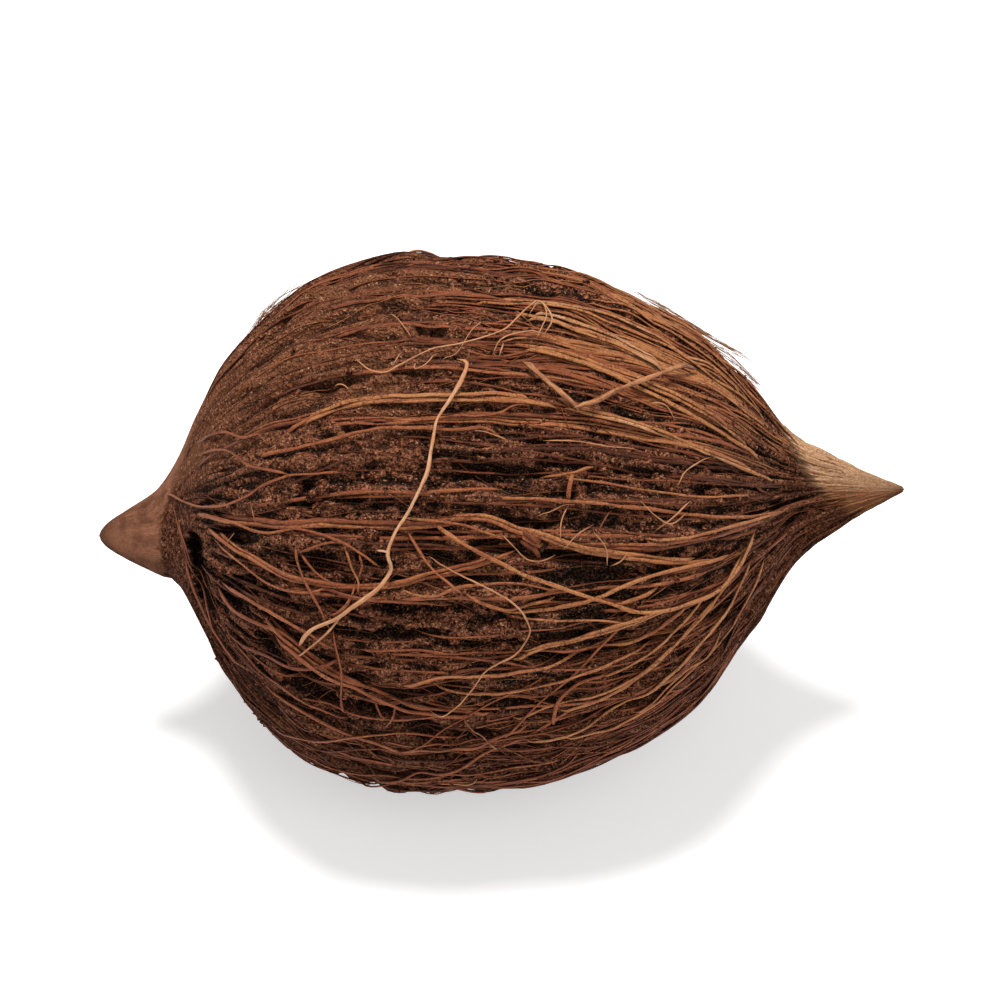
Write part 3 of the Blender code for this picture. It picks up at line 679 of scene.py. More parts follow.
class Finish:
    """A material being made, with its Principled shader."""

    def __init__(self, name, roughness, gloss):
        self.material = bpy.data.materials.new(name)
        self.material.use_nodes = True
        self.tree = self.material.node_tree
        self.shader = self.tree.nodes["Principled BSDF"]
        self.shader.inputs["Roughness"].default_value = roughness
        self.shader.inputs["Specular IOR Level"].default_value = gloss

    def node(self, kind, settings, values):
        """A node of any type: its settings are set first, then its sockets' values or links."""
        made = self.tree.nodes.new(kind)
        for name, setting in settings.items():
            setattr(made, name, setting)
        for name, value in values.items():
            self.feed(made.inputs[name], value)
        return made

    def feed(self, socket, value):
        """Links or sets a socket."""
        if isinstance(value, Number):
            value = value.socket
        if isinstance(value, bpy.types.NodeSocket):
            self.tree.links.new(value, socket)
        else:
            socket.default_value = value

    def math(self, operation, a, b):
        made = self.node("ShaderNodeMath", {"operation": operation}, {0: a, 1: b})
        return Number(self, made.outputs[0])

    def position(self):
        """Object coordinates, turned into millimetres."""
        place = self.node("ShaderNodeTexCoord", {}, {}).outputs["Object"]
        return self.scaled(place, (1 / MM, 1 / MM, 1 / MM))

    def scaled(self, vector, scale):
        made = self.node("ShaderNodeVectorMath", {"operation": "MULTIPLY"}, {0: vector, 1: scale})
        return made.outputs["Vector"]

    def parts(self, vector):
        """A vector's three coordinates."""
        split = self.node("ShaderNodeSeparateXYZ", {}, {"Vector": vector})
        return [Number(self, out) for out in split.outputs]

    def attribute(self, name):
        """A number kept on the mesh's points."""
        return Number(self, self.node("ShaderNodeAttribute", {"attribute_name": name}, {}).outputs["Fac"])

    def vector_attribute(self, name):
        """A vector kept on the mesh's points."""
        return self.node("ShaderNodeAttribute", {"attribute_name": name}, {}).outputs["Vector"]

    def noise(self, vector, scale, detail=2.0, roughness=0.55):
        values = {"Vector": vector, "Scale": scale, "Detail": detail, "Roughness": roughness}
        return Number(self, self.node("ShaderNodeTexNoise", {}, values).outputs["Fac"])

    def pushed(self, vector, scale, reach):
        """The vector, pushed about by noise, so that a pattern on it comes out irregular."""
        colour = self.node("ShaderNodeTexNoise", {}, {"Vector": vector, "Scale": scale}).outputs["Color"]
        values = {0: colour, 1: (reach, reach, reach), 2: vector}
        return self.node("ShaderNodeVectorMath", {"operation": "MULTIPLY_ADD"}, values).outputs["Vector"]

    def granules(self, vector, scale):
        """Granules, that many a millimetre: how far a point is from its granule's middle, and its shade."""
        made = self.node("ShaderNodeTexVoronoi", {}, {"Vector": vector, "Scale": scale})
        return Number(self, made.outputs["Distance"]), self.parts(made.outputs["Color"])[0]

    def mix(self, share, a, b):
        """Colour a, turned into colour b by that share."""
        return self.node("ShaderNodeMix", {"data_type": "RGBA"}, {0: share, 6: a, 7: b}).outputs[2]

    def layered(self, colour, *layers):
        """The colour, under layers that each have a share and a colour of their own."""
        for share, tone in layers:
            colour = self.mix(share, colour, tone)
        return colour

    def bump(self, height, depth):
        """Raises the surface by that height, times a depth in millimetres."""
        made = self.node("ShaderNodeBump", {}, {"Height": height, "Strength": 1.0, "Distance": depth * MM})
        self.feed(self.shader.inputs["Normal"], made.outputs["Normal"])


def times(colour, share):
    """The colour, that much lighter or darker."""
    return (*(share * c for c in colour[:3]), 1.0)


def husk_finish(settings):
    """Dry pith: granular, streaked lengthwise, skin-like at both ends, with painted shade near black in its
    cracks.
    """
    finish = Finish("pith", 0.95, 0.05)
    place = finish.position()
    grain = finish.vector_attribute("grain")
    hollow_shade = finish.attribute("hollow_shade")
    stub = finish.attribute("stub")
    soft = finish.attribute("soft")

    streak = finish.noise(finish.scaled(grain, (0.10, 0.9, 0.9)), 1.0, 4.0)
    soft_streak = finish.noise(finish.scaled(grain, (0.06, 0.5, 0.5)), 1.0, 5.0, 0.65)
    thread = finish.noise(finish.scaled(grain, (0.28, 2.8, 2.8)), 1.0, 3.0)
    beak = finish.attribute("beak") + 0.8 * (thread - 0.5) + 0.5 * (soft_streak - 0.5)
    beak = beak.between(0.3, 0.62)
    patch = finish.noise(place, 0.07, 3.0)
    stain = finish.noise(place, 0.19, 3.0)
    pushed = finish.pushed(place, 1.3, 0.7)
    grit = finish.noise(pushed, 1.5, 1.6, 0.7)
    dust = finish.noise(place, 3.4, 1.0, 0.6)
    middle, shade = finish.granules(pushed, 2.0)
    plain = 1 - 0.6 * soft
    speck = shade.between(0.8, 0.9) * dust.between(0.56, 0.64) * (1 - 0.6 * hollow_shade)

    pith = settings.pith_colour
    light = settings.grain_colour
    russet = settings.russet_colour
    skin_colour = settings.stub_colour
    # Dark grains, and the painted shade in the gaps between granules and along the lower rim
    dark_grain_and_shade = times(pith, 0.1)
    soft_pith_and_painted_light = finish.mix(soft_streak.between(0.36, 0.6), times(pith, 0.55), SOFT_PITH_AND_PAINTED_LIGHT)
    shade_in_hollows = finish.mix(dust.between(0.52, 0.62) * 0.8, settings.crack_shade_colour, SHADED_SPECK)
    stub_skin = finish.layered(
        times(skin_colour, 0.5),
        (finish.noise(place, 0.45, 4.0).between(0.33, 0.6), skin_colour),
        (thread.between(0.5, 0.66) * 0.3, times(skin_colour, 1.5)),
        ((1 - thread.between(0.36, 0.5)) * 0.35, times(skin_colour, 0.45)),
        ((1 - dust.between(0.36, 0.5)) * 0.35, times(skin_colour, 0.35)),
        (finish.attribute("tip"), times(skin_colour, 0.45)),
    )
    lower_beak = finish.mix(soft_streak.between(0.36, 0.6), times(russet, 0.45), LOWER_BEAK)
    upper_beak = times(settings.beak_colour, 0.6)
    upper_beak = finish.mix(soft_streak.between(0.34, 0.58), upper_beak, settings.beak_colour)
    beak_skin = finish.layered(
        lower_beak,
        ((finish.attribute("top") + 0.4 * (stain - 0.5)).between(0.35, 0.75), upper_beak),
        ((1 - thread.between(0.34, 0.5)) * 0.2, times(russet, 0.5)),
        ((1 - grit.between(0.34, 0.46)) * 0.12, dark_grain_and_shade),
    )
    colour = finish.layered(
        times(pith, 0.6),
        (streak.between(0.36, 0.66), pith),
        (patch.between(0.42, 0.62) * 0.5, settings.red_colour),
        (thread.between(0.5, 0.68) * 0.35, light),
        ((1 - thread.between(0.34, 0.46)) * 0.5, dark_grain_and_shade),
        (finish.attribute("strand").between(0.3, 0.8) * thread.between(0.4, 0.6) * 0.45, russet),
        # Painted light on the relief's raised places
        (finish.attribute("ridge") * 0.45, light),
        (stain.between(0.52, 0.66) * 0.45, STAIN),
        # Soft pith, whose lighter colour on the upper side near the stub is partly painted light from above
        (soft * 0.85, soft_pith_and_painted_light),
        (grit.between(0.53, 0.64) * plain * 0.85, light),
        ((1 - grit.between(0.37, 0.48)) * plain * 0.95, dark_grain_and_shade),
        (dust.between(0.55, 0.65) * plain * 0.7, light),
        ((1 - dust.between(0.35, 0.46)) * plain * 0.88, dark_grain_and_shade),
        (shade.between(0.7, 0.95) * plain * 0.3, light),
        # Painted shade in the gaps between granules
        (middle.between(0.4, 0.7) * plain * 0.5, dark_grain_and_shade),
        # Painted shade, near black with faint specks, in the cracks and hollows
        (hollow_shade.between(0.15, 0.65) * (0.95 - 0.4 * soft), shade_in_hollows),
        (finish.attribute("pale") + speck * 0.9, PALE_SPECK),
        (stub, stub_skin),
        (beak, beak_skin),
        # Painted shade along the husk's lower rim
        (finish.attribute("under") * 0.55, dark_grain_and_shade),
    )
    finish.feed(finish.shader.inputs["Base Color"], colour)

    rough = (1 - 0.6 * stub) * (1 - 0.6 * beak)
    height = rough * (1.3 * grit - 0.5 * middle + 0.3 * shade + 0.35 * dust) + (0.7 - 0.5 * beak) * thread
    finish.bump(height, 1.1)
    return finish.material


def fibre_finish(settings):
    """Coir fibre: streaked along its length, each fibre in its own tone, with pith dust stuck to it and
    painted shade along its sides and underside.
    """
    finish = Finish("coir", 0.55, 0.18)
    grain = finish.vector_attribute("grain")
    place = finish.position()
    streak = finish.noise(finish.scaled(grain, (0.25, 6.0, 1.0)), 1.0, 3.0)
    mottle = finish.noise(finish.scaled(grain, (0.9, 2.4, 1.0)), 1.0, 3.0)
    dirt = finish.noise(place, 0.35, 3.0)
    dust = finish.noise(place, 2.4, 3.0, 0.75)
    shade = finish.attribute("tone") + 0.6 * (streak - 0.5) + 0.6 * (mottle - 0.5)
    red = settings.red_colour
    colour = finish.layered(
        times(red, 0.35),
        (shade.between(-0.15, 0.15), red),
        (shade.between(0.05, 0.42), settings.russet_colour),
        (shade.between(0.38, 0.8), settings.golden_colour),
        (shade.between(0.8, 1.2), settings.pale_colour),
        (dust.between(0.48, 0.6) * (0.3 + 0.65 * dirt.between(0.4, 0.6)), times(settings.pith_colour, 0.8)),
        ((1 - dust.between(0.32, 0.42)) * 0.5, times(red, 0.25)),
        # Painted shade along the fibre's sides and underside
        (finish.attribute("underside_shade").between(-0.65, 0.3) * 0.92, times(red, 0.12)),
    )
    finish.feed(finish.shader.inputs["Base Color"], colour)
    finish.bump(streak + 0.8 * mottle + 1.2 * dust, 0.3)
    return finish.material


def pale_finish(settings):
    """Bleached fibre, tan to cream, with painted shade along its sides and underside."""
    finish = Finish("pale_coir", 0.6, 0.25)
    grain = finish.vector_attribute("grain")
    streak = finish.noise(finish.scaled(grain, (0.3, 5.0, 1.0)), 1.0, 3.0)
    mottle = finish.noise(finish.scaled(grain, (0.7, 1.6, 1.0)), 1.0, 4.0, 0.65)
    shade = finish.attribute("tone") + 0.5 * (streak - 0.5) + 1.0 * (mottle - 0.5)
    colour = finish.layered(
        settings.red_colour,
        (shade.between(0.0, 0.45), TAN_FIBRE),
        (shade.between(0.45, 0.95), settings.pale_colour),
        # Painted shade along the fibre's sides and underside
        (finish.attribute("underside_shade").between(-0.75, 0.4) * 0.85, times(settings.red_colour, 0.4)),
    )
    finish.feed(finish.shader.inputs["Base Color"], colour)
    finish.bump(streak + 0.8 * mottle, 0.25)
    return finish.material


@functools.lru_cache
def finish_named(name):
    """Each finish is made once and shared."""
    settings = bpy.context.scene.coconut
    return {"pith": husk_finish, "coir": fibre_finish, "pale_coir": pale_finish}[name](settings)


def add_piece(name, shape, finish_name):
    """Turns the bmesh into a finished piece that rides on the fruit."""
    mesh = bpy.data.meshes.new(name)
    shape.to_mesh(mesh)
    shape.free()
    mesh.shade_smooth()
    mesh.materials.append(finish_named(finish_name))
    piece = bpy.data.objects.new(name, mesh)
    bpy.context.scene.collection.objects.link(piece)
    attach(piece, BODY)
    return piece


def keep_off_ground(points):
    """Nothing reaches below the surface that the fruit rests on."""
    points[:, 2] = np.maximum(points[:, 2], 0.0)
    return points


def read_points(mesh):
    """The places of a mesh's points."""
    places = np.empty(len(mesh.vertices) * 3, np.float32)
    mesh.vertices.foreach_get("co", places)
    return places.reshape(-1, 3)


def move_points(mesh, points):
    """Moves a mesh's points to places given in millimetres."""
    mesh.vertices.foreach_set("co", (points * MM).astype(np.float32).ravel())


def add_values(mesh, numbers, vectors=()):
    """Gives a mesh's points attributes of those names: numbers, and vectors."""
    for name in numbers:
        mesh.attributes.new(name, "FLOAT", "POINT")
    for name in vectors:
        mesh.attributes.new(name, "FLOAT_VECTOR", "POINT")


def set_values(mesh, name, values):
    """Sets an attribute: a number or a vector for each point."""
    kind = "vector" if values.ndim == 2 else "value"
    mesh.attributes[name].data.foreach_set(kind, values.astype(np.float32).ravel())


@functools.lru_cache
def tube(rings, sides):
    """A closed tube to be laid along a path: its mesh, and each point's ring and turn."""
    shape = bmesh.new()
    bmesh.ops.create_cone(shape, cap_ends=True, segments=sides, radius1=1.0, radius2=1.0, depth=rings - 1.0)
    lengthwise = [e for e in shape.edges if abs(e.verts[0].co.z - e.verts[1].co.z) > 0.5]
    bmesh.ops.subdivide_edges(shape, edges=lengthwise, cuts=rings - 2)
    bmesh.ops.recalc_face_normals(shape, faces=shape.faces)
    mesh = bpy.data.meshes.new(f"tube_{rings}_{sides}")
    shape.to_mesh(mesh)
    shape.free()
    places = read_points(mesh)
    add_values(mesh, ("tone", "underside_shade"), ("grain",))
    ring = np.rint(places[:, 2] + (rings - 1) / 2).astype(int)
    return mesh, ring, np.arctan2(places[:, 1], places[:, 0])


class Bundle:
    """Fibres gathered into one mesh, with the attributes that their finish reads."""

    def __init__(self, seed, step, sides):
        self.draw = np.random.default_rng(seed)
        self.step = step
        self.sides = sides
        self.shape = bmesh.new()

    def add(self, points, normals, width, thickness, tone):
        """Lays a fibre along points. Its width, thickness and tone are numbers, or one for each point."""
        travelled = np.concatenate(([0.0], np.cumsum(np.linalg.norm(np.diff(points, axis=0), axis=1))))
        length = travelled[-1]
        if length < 0.4:
            return
        rings = min(TUBE_RINGS, key=lambda r: abs(r - length / self.step))
        mesh, ring, turn = tube(rings, self.sides)
        at = np.linspace(0.0, length, rings)

        def spread(values):
            values = np.broadcast_to(values, len(points))
            return np.interp(at, travelled, values)

        centres = np.stack([spread(points[:, i]) for i in range(3)], axis=-1)
        out = unit(np.stack([spread(normals[:, i]) for i in range(3)], axis=-1))
        ahead = unit(np.gradient(centres, axis=0))
        across = unit(np.cross(out, ahead))
        out = np.cross(ahead, across)
        ends = np.minimum(1.0, np.minimum(at, length - at) / min(2.0, 0.3 * length) + 0.3)
        uneven = ends * (1 + 0.3 * self.waves(rings, 2.4, self.step))
        half_width = spread(width) / 2 * uneven
        half_thickness = spread(thickness) / 2 * uneven
        places = centres[ring]
        places = places + across[ring] * (np.cos(turn) * half_width[ring])[:, None]
        places = places + out[ring] * (np.sin(turn) * half_thickness[ring])[:, None]
        places = keep_off_ground(places)
        seed = self.draw.uniform(0, 100)
        grain = np.stack((at[ring], np.cos(turn) * half_width[ring], np.full(len(ring), seed)), axis=-1)
        move_points(mesh, places)
        set_values(mesh, "tone", spread(tone)[ring])
        # How far round each point lies towards the fibre's underside, where its finish paints shade
        set_values(mesh, "underside_shade", -np.sin(turn))
        set_values(mesh, "grain", grain)
        self.shape.from_mesh(mesh)

    def waves(self, count, span, step=WAY_STEP):
        """Smooth random numbers along a fibre, about -1 to 1."""
        start = self.draw.uniform(0, 900)
        return noise_at(start + np.arange(count) * step / span, start * 0.37, 0.5)


def smoothed(values, reach):
    """A running mean over that many neighbours each way."""
    if reach < 1 or len(values) < 3:
        return values
    kernel = np.hanning(2 * reach + 3)[1:-1]
    padded = np.pad(values, reach, mode="edge")
    return np.convolve(padded, kernel / kernel.sum(), mode="valid")


def bridged(heights, reach):
    """How high a stiff fibre lies on that relief: over its humps, and across its hollows."""
    padded = np.pad(heights, reach, mode="edge")
    windows = np.lib.stride_tricks.sliding_window_view(padded, 2 * reach + 1)
    return smoothed(windows.max(axis=1), reach)


def gold_tone_and_shade_below(along, around):
    """How gold-toned the fibres are there: most above the beak, and duskier than usual at the stub; darker
    below, which is painted shade.
    """
    off = np.abs(half_turn(around + math.radians(20)))
    side = 1 - smooth_step(math.radians(25), math.radians(68), off)
    below = smooth_step(math.radians(115), math.radians(150), off)
    # The term for below darkens the fibres there as painted shade
    return side * smooth_step(45, 88, along) - 0.35 * (1 - smooth_step(25, 62, along)) - 0.4 * below


def lay(bundle, along, around, lift, width, thickness, tone, reach, ends_sunk=0.5):
    """Lays a fibre over places of the husk, that far off the relief it rests on."""
    husk = skin()
    if bundle.draw.random() < husk.sample(husk.open, along, around).mean():
        return
    clear = husk.sample(husk.gap, along, around) < 0.6
    clear &= along > husk.sample(husk.stub_edge, along, around) + 1
    first = 0 if clear.all() else len(clear) - np.argmin(clear[::-1])
    if len(along) - first < 6:
        return
    along, around = along[first:], around[first:]
    varying = (lift, width, thickness, tone)
    lift, width, thickness, tone = (np.broadcast_to(value, len(clear))[first:] for value in varying)
    height = bridged(husk.sample(husk.relief, along, around), reach) + lift + thickness * 0.3
    height = height - 0.3 * smooth_step(89, 98, along) * (1 - smooth_step(104, 112, along))
    share = np.linspace(0.0, 1.0, len(along))
    sunk = np.clip(1 - np.minimum(share, 1 - share) / 0.05, 0, 1)
    height = height - sunk * (lift + ends_sunk)
    points = husk.point(along, around, height)
    bundle.add(points, husk.normal(along, around), width, thickness, tone)


def way_along(start, length, around, slant, step=WAY_STEP):
    """A way along the husk, in even steps, that slants by that angle in all."""
    share = np.linspace(0.0, 1.0, max(6, int(length / step)))
    return start + length * share, around + slant * (share - 0.5)


def swaying_way(bundle, start, length, around, slant, sway, span, step=WAY_STEP):
    """A way along the husk that slants, and sways to and fro by about that angle over each such span."""
    along, around = way_along(start, length, around, slant, step)
    return along, around + sway * bundle.waves(len(along), span, step)


def slimmed(along, least):
    """How much slimmer a fibre is near the stub and the beak, as a share of its width."""
    return np.minimum(1.0, least + outline(along))


def fibrous(along, around):
    """How thick the fibres lie there: thin on the upper side near the stub, thick below and near the beak."""
    below = np.exp(-(((np.abs(half_turn(around)) - math.radians(128)) / 0.6) ** 2))
    return 0.4 + 0.35 * below - 0.25 * np.maximum(0.0, gold_tone_and_shade_below(along, around))


def fibrous_place(draw, shortest, longest, margin):
    """Where a fibre lies: its start, its length, and its angle, more of them where the fibres lie thick."""
    while True:
        length = draw.uniform(shortest, longest)
        start = draw.uniform(margin, 112 - length)
        around = draw.uniform(0, 2 * np.pi)
        if draw.random() < fibrous(start + length / 2, around):
            return start, length, around


class COCONUT_OT_husk(bpy.types.Operator):
    """Adds the husk, with its stub, beak, lengthwise strands, cracks and crumbling pith."""

    bl_idname = "coconut.husk"
    bl_label = "Husk"

    def execute(self, context):
        husk = skin()
        shape = bmesh.new()
        bmesh.ops.create_uvsphere(shape, u_segments=COLUMNS, v_segments=ROWS, radius=1.0)
        mesh = bpy.data.meshes.new("sphere")
        shape.to_mesh(mesh)
        places = read_points(mesh)
        row = np.rint(np.arccos(np.clip(places[:, 2], -1, 1)) / np.pi * ROWS).astype(int)
        column = np.rint(np.arctan2(places[:, 1], places[:, 0]) / (2 * np.pi) * COLUMNS).astype(int) % COLUMNS
        pole = (row == 0) | (row == ROWS)
        along, around = ROW_ALONG[row], COLUMN_AROUND[column]
        radius = (husk.bare + husk.relief)[row, column]
        points = axis_point(along) + outward(around) * np.where(pole, 0.0, radius)[:, None]
        move_points(mesh, keep_off_ground(points))

        stub_edge = husk.stub_edge[row, column]
        softness = 0.3 + 1.6 * smooth_step(0.4, 0.95, husk.up[row, column])
        values = {
            "hollow_shade": husk.hollow_shade[row, column],
            "strand": husk.strand[row, column],
            "stub": 1 - smooth_step(-1, 1, (along - stub_edge) / softness),
            "tip": 1 - smooth_step(0.2, 3.0, along),
            "beak": np.clip((along + 6 * husk.up[row, column] - 103.5) / 8, 0, 1),
            "top": 0.5 + 0.5 * husk.up[row, column],
            "under": lower_rim_shade(around),
            # Painted shade along the husk's lower rim
            "soft": husk.soft[row, column],
            "ridge": husk.ridge[row, column],
        }
        add_values(mesh, values, ("grain",))
        for name, value in values.items():
            set_values(mesh, name, value)
        grain = np.stack((along, GREATEST_RADIUS * np.cos(around), GREATEST_RADIUS * np.sin(around)), axis=-1)
        set_values(mesh, "grain", grain)
        shape.clear()
        shape.from_mesh(mesh)
        bmesh.ops.recalc_face_normals(shape, faces=shape.faces)
        bpy.data.meshes.remove(mesh)
        piece = add_piece("husk", shape, "pith")
        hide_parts(NODE)
        return {"FINISHED"}


class COCONUT_OT_crest_fibres(bpy.types.Operator):
    """Adds the fibres that lie side by side on the husk's lengthwise strands."""

    bl_idname = "coconut.crest_fibres"
    bl_label = "Crest Fibres"

    def execute(self, context):
        bundle = Bundle(SEED + 20, 1.0, 6)
        draw = bundle.draw
        for strand in lengthwise_strands():
            for _ in range(context.scene.coconut.crest_fibres):
                length = draw.uniform(16, 62)
                start = draw.uniform(strand["start"] + 1, strand["end"] - length)
                along, around = way_along(start, length, 0.0, 0.0)
                girth = np.maximum(0.12, outline(along))
                off = draw.normal(0, 0.9) + 0.5 * bundle.waves(len(along), 22)
                off = off / GREATEST_RADIUS * np.minimum(1.0, girth * 1.3) / girth
                around = crest_angle(strand, along) + off
                width = draw.uniform(0.3, 0.75) * np.minimum(1.0, 0.35 + girth)
                lift = -0.35 * width + 0.22 * bundle.waves(len(along), 12)
                tone = draw.uniform(0.0, 0.5) + 0.38 * gold_tone_and_shade_below(along, around)
                lay(bundle, along, around, lift, width, width * 0.6, tone, 2, 0.3)
        add_piece("crest_fibres", bundle.shape, "coir")
        return {"FINISHED"}


class COCONUT_OT_husk_fibres(bpy.types.Operator):
    """Adds fibres that run along the husk, half sunk in the pith."""

    bl_idname = "coconut.husk_fibres"
    bl_label = "Husk Fibres"

    def execute(self, context):
        bundle = Bundle(SEED + 40, 1.1, 5)
        draw = bundle.draw
        for _ in range(context.scene.coconut.husk_fibres):
            start, length, middle = fibrous_place(draw, 9, 50, 14)
            along, around = swaying_way(bundle, start, length, middle, draw.normal(0, 0.05), 0.022, 12)
            width = draw.uniform(0.22, 0.5) * slimmed(along, 0.4)
            lift = -0.3 * width + 0.22 * bundle.waves(len(along), 9)
            tone = draw.uniform(0.0, 0.55) + 0.36 * gold_tone_and_shade_below(along, around)
            lay(bundle, along, around, lift, width, width * 0.75, tone, 2, 0.3)
        add_piece("husk_fibres", bundle.shape, "coir")
        return {"FINISHED"}


class COCONUT_OT_straps(bpy.types.Operator):
    """Adds flat bundles of fibres, which run over the upper side and the back to the beak."""

    bl_idname = "coconut.straps"
    bl_label = "Straps"

    def execute(self, context):
        bundle = Bundle(SEED + 50, 1.1, 5)
        draw = bundle.draw
        for _ in range(context.scene.coconut.straps):
            start = draw.uniform(36, 80)
            end = draw.uniform(95, 108)
            middle = draw.normal(math.radians(-14), 0.42) if draw.random() < 0.7 else draw.uniform(2.7, 5.2)
            slant = draw.normal(0, 0.08)
            fibres = draw.integers(2, 8)
            spacing = draw.uniform(0.34, 0.5)
            own_tone = draw.uniform(-0.15, 0.5)
            wander = draw.uniform(0, 900)
            for k in range(fibres):
                own_start = start + draw.uniform(-3, 3)
                along, around = way_along(own_start, end - start + draw.uniform(-5, 0), middle, slant)
                girth = np.maximum(0.1, outline(along))
                shared = noise_at(wander + along / 18, 0.3, 0.7)
                off = (k - fibres / 2) * spacing + 0.16 * bundle.waves(len(along), 12)
                around = around + off / GREATEST_RADIUS * np.minimum(1.0, 1.6 * girth) / girth + 0.03 * shared
                width = spacing * draw.uniform(1.0, 1.4) * np.minimum(1.0, 0.35 + girth)
                lift = 0.12 * bundle.waves(len(along), 12)
                tone = own_tone + draw.uniform(-0.09, 0.09) + 0.38 * gold_tone_and_shade_below(along, around)
                lay(bundle, along, around, lift, width, width * 0.6, tone, 2, 0.4)
        add_piece("straps", bundle.shape, "coir")
        return {"FINISHED"}


class COCONUT_OT_beak_fibres(bpy.types.Operator):
    """Adds the fibres that come together on the beak."""

    bl_idname = "coconut.beak_fibres"
    bl_label = "Beak Fibres"

    def execute(self, context):
        bundle = Bundle(SEED + 60, 1.0, 5)
        draw = bundle.draw
        for _ in range(BEAK_FIBRES):
            start = draw.uniform(76, 100)
            end = draw.uniform(98, 112)
            along, around = way_along(start, end - start, draw.normal(math.pi, 1.3), draw.normal(0, 0.2))
            width = draw.uniform(0.3, 0.7) * np.minimum(1.0, 0.3 + 1.4 * outline(along))
            lift = -0.25 * width + 0.1 * bundle.waves(len(along), 8)
            tone = draw.uniform(0.0, 0.4) + 0.5 * gold_tone_and_shade_below(along, around)
            lay(bundle, along, around, lift, width, width * 0.5, tone, 1, 0.2)
        add_piece("beak_fibres", bundle.shape, "coir")
        return {"FINISHED"}


class COCONUT_OT_fine_fibres(bpy.types.Operator):
    """Adds short thin fibres all over, some of them with an end that stands off the husk."""

    bl_idname = "coconut.fine_fibres"
    bl_label = "Fine Fibres"

    def execute(self, context):
        bundle = Bundle(SEED + 80, 1.2, 3)
        draw = bundle.draw
        for _ in range(context.scene.coconut.fine_fibres):
            start, length, middle = fibrous_place(draw, 3, 18, 13)
            along, around = swaying_way(bundle, start, length, middle, draw.normal(0, 0.09), 0.03, 6)
            width = draw.uniform(0.11, 0.2)
            lift = draw.uniform(-0.05, 0.12) + 0.15 * bundle.waves(len(along), 6)
            if draw.random() < 0.1:
                lift = lift + draw.uniform(0.2, 0.7) * np.linspace(0, 1, len(along)) ** 2
            tone = draw.uniform(0.05, 0.7) + 0.3 * gold_tone_and_shade_below(along, around)
            lay(bundle, along, around, lift, width, width, tone, 1, 0.15)
        add_piece("fine_fibres", bundle.shape, "coir")
        return {"FINISHED"}


def lay_seen(bundle, name, width, lift, tone, pixels, sunk_ends, fibre_width):
    """Lays a strand where the picture shows it, over the husk's relief, as fibres side by side."""
    husk = skin()
    knots = np.array(pixels, float)
    spans = np.linalg.norm(np.diff(knots, axis=0), axis=1)
    travelled = np.concatenate(([0.0], np.cumsum(spans)))
    count = max(8, int(travelled[-1] / 2.5))
    at = np.linspace(0, travelled[-1], count)
    slopes = np.gradient(knots, travelled, axis=0)
    route = np.stack([curve_through(at, travelled, knots[:, i], slopes[:, i]) for i in range(2)], axis=-1)
    ahead = unit(np.gradient(route, axis=0))
    aside = np.stack((-ahead[:, 1], ahead[:, 0]), axis=-1)
    step = travelled[-1] / (count - 1) * PICTURE_PIXEL
    wander = 0.9 * bundle.waves(count, 3.5, step) + 0.4 * bundle.waves(count, 1.3, step)
    route = route + aside * wander[:, None]
    fibres = max(1, round(width / fibre_width))
    for k in range(fibres):
        own_width = width / fibres * (1.0 if fibres == 1 else 1.1)
        off = (k - (fibres - 1) / 2) * width / fibres / PICTURE_PIXEL
        shift = off * (1 + 0.35 * bundle.waves(count, 9, step))
        shift = shift + (fibres > 1) * 0.9 * bundle.waves(count, 7, step)
        first, last = 0, count
        if k != fibres // 2:
            shares = bundle.draw.uniform(0, 0.12, 2) * (1, -1) + (0, 1)
            first, last = np.sort(shares * count).astype(int)
        way = (route + aside * shift[:, None])[first:last]
        height = np.full(len(way), lift + 0.6)
        for _ in range(3):
            along, around, seen = husk.place_seen_at(way, height)
            height = bridged(husk.sample(husk.relief, along, around), 7) + lift + own_width * 0.3
        if seen.sum() < 4:
            raise RuntimeError(f"the strand {name} misses the husk")
        share = np.linspace(0.0, 1.0, len(way))
        sunk = np.clip(1 - np.minimum(share, 1 - share) / min(0.2, 12 / travelled[-1]), 0, 1)
        height = height + 0.12 * k * (-1) ** k + 0.12 * bundle.waves(len(way), 5, step)
        points = husk.point(along, around, height - sunk * (lift + 0.7) * sunk_ends)
        uneven = 1 + 0.22 * bundle.waves(len(way), 3, step) + 0.2 * bundle.waves(len(way), 1.1, step)
        wide = own_width * (1 - 0.4 * sunk) * uneven
        own_tone = tone + bundle.draw.uniform(-0.15, 0.15) * (fibres > 1)
        own_tone = own_tone + 0.2 * bundle.waves(len(way), 6, step)
        normals = husk.normal(along, around)
        bundle.add(points[seen], normals[seen], wide[seen], wide[seen] * 0.8, own_tone[seen])


class COCONUT_OT_loose_strands(bpy.types.Operator):
    """Adds the looser strands that the picture shows, the wide ones as fibres side by side."""

    bl_idname = "coconut.loose_strands"
    bl_label = "Loose Strands"

    def execute(self, context):
        bundle = Bundle(SEED + 100, 0.5, 7)
        for name, (width, lift, tone, pixels) in LOOSE_STRANDS.items():
            thin = width * (0.68 if width < 1.1 else 0.85)
            middle = sum(x for x, _ in pixels) / len(pixels)
            warmer = 0.2 * (middle - 430) / 300
            lay_seen(bundle, name, thin, lift * 0.8, tone + 0.03 + warmer, pixels, 1.0, 0.6)
        add_piece("loose_strands", bundle.shape, "coir")
        return {"FINISHED"}


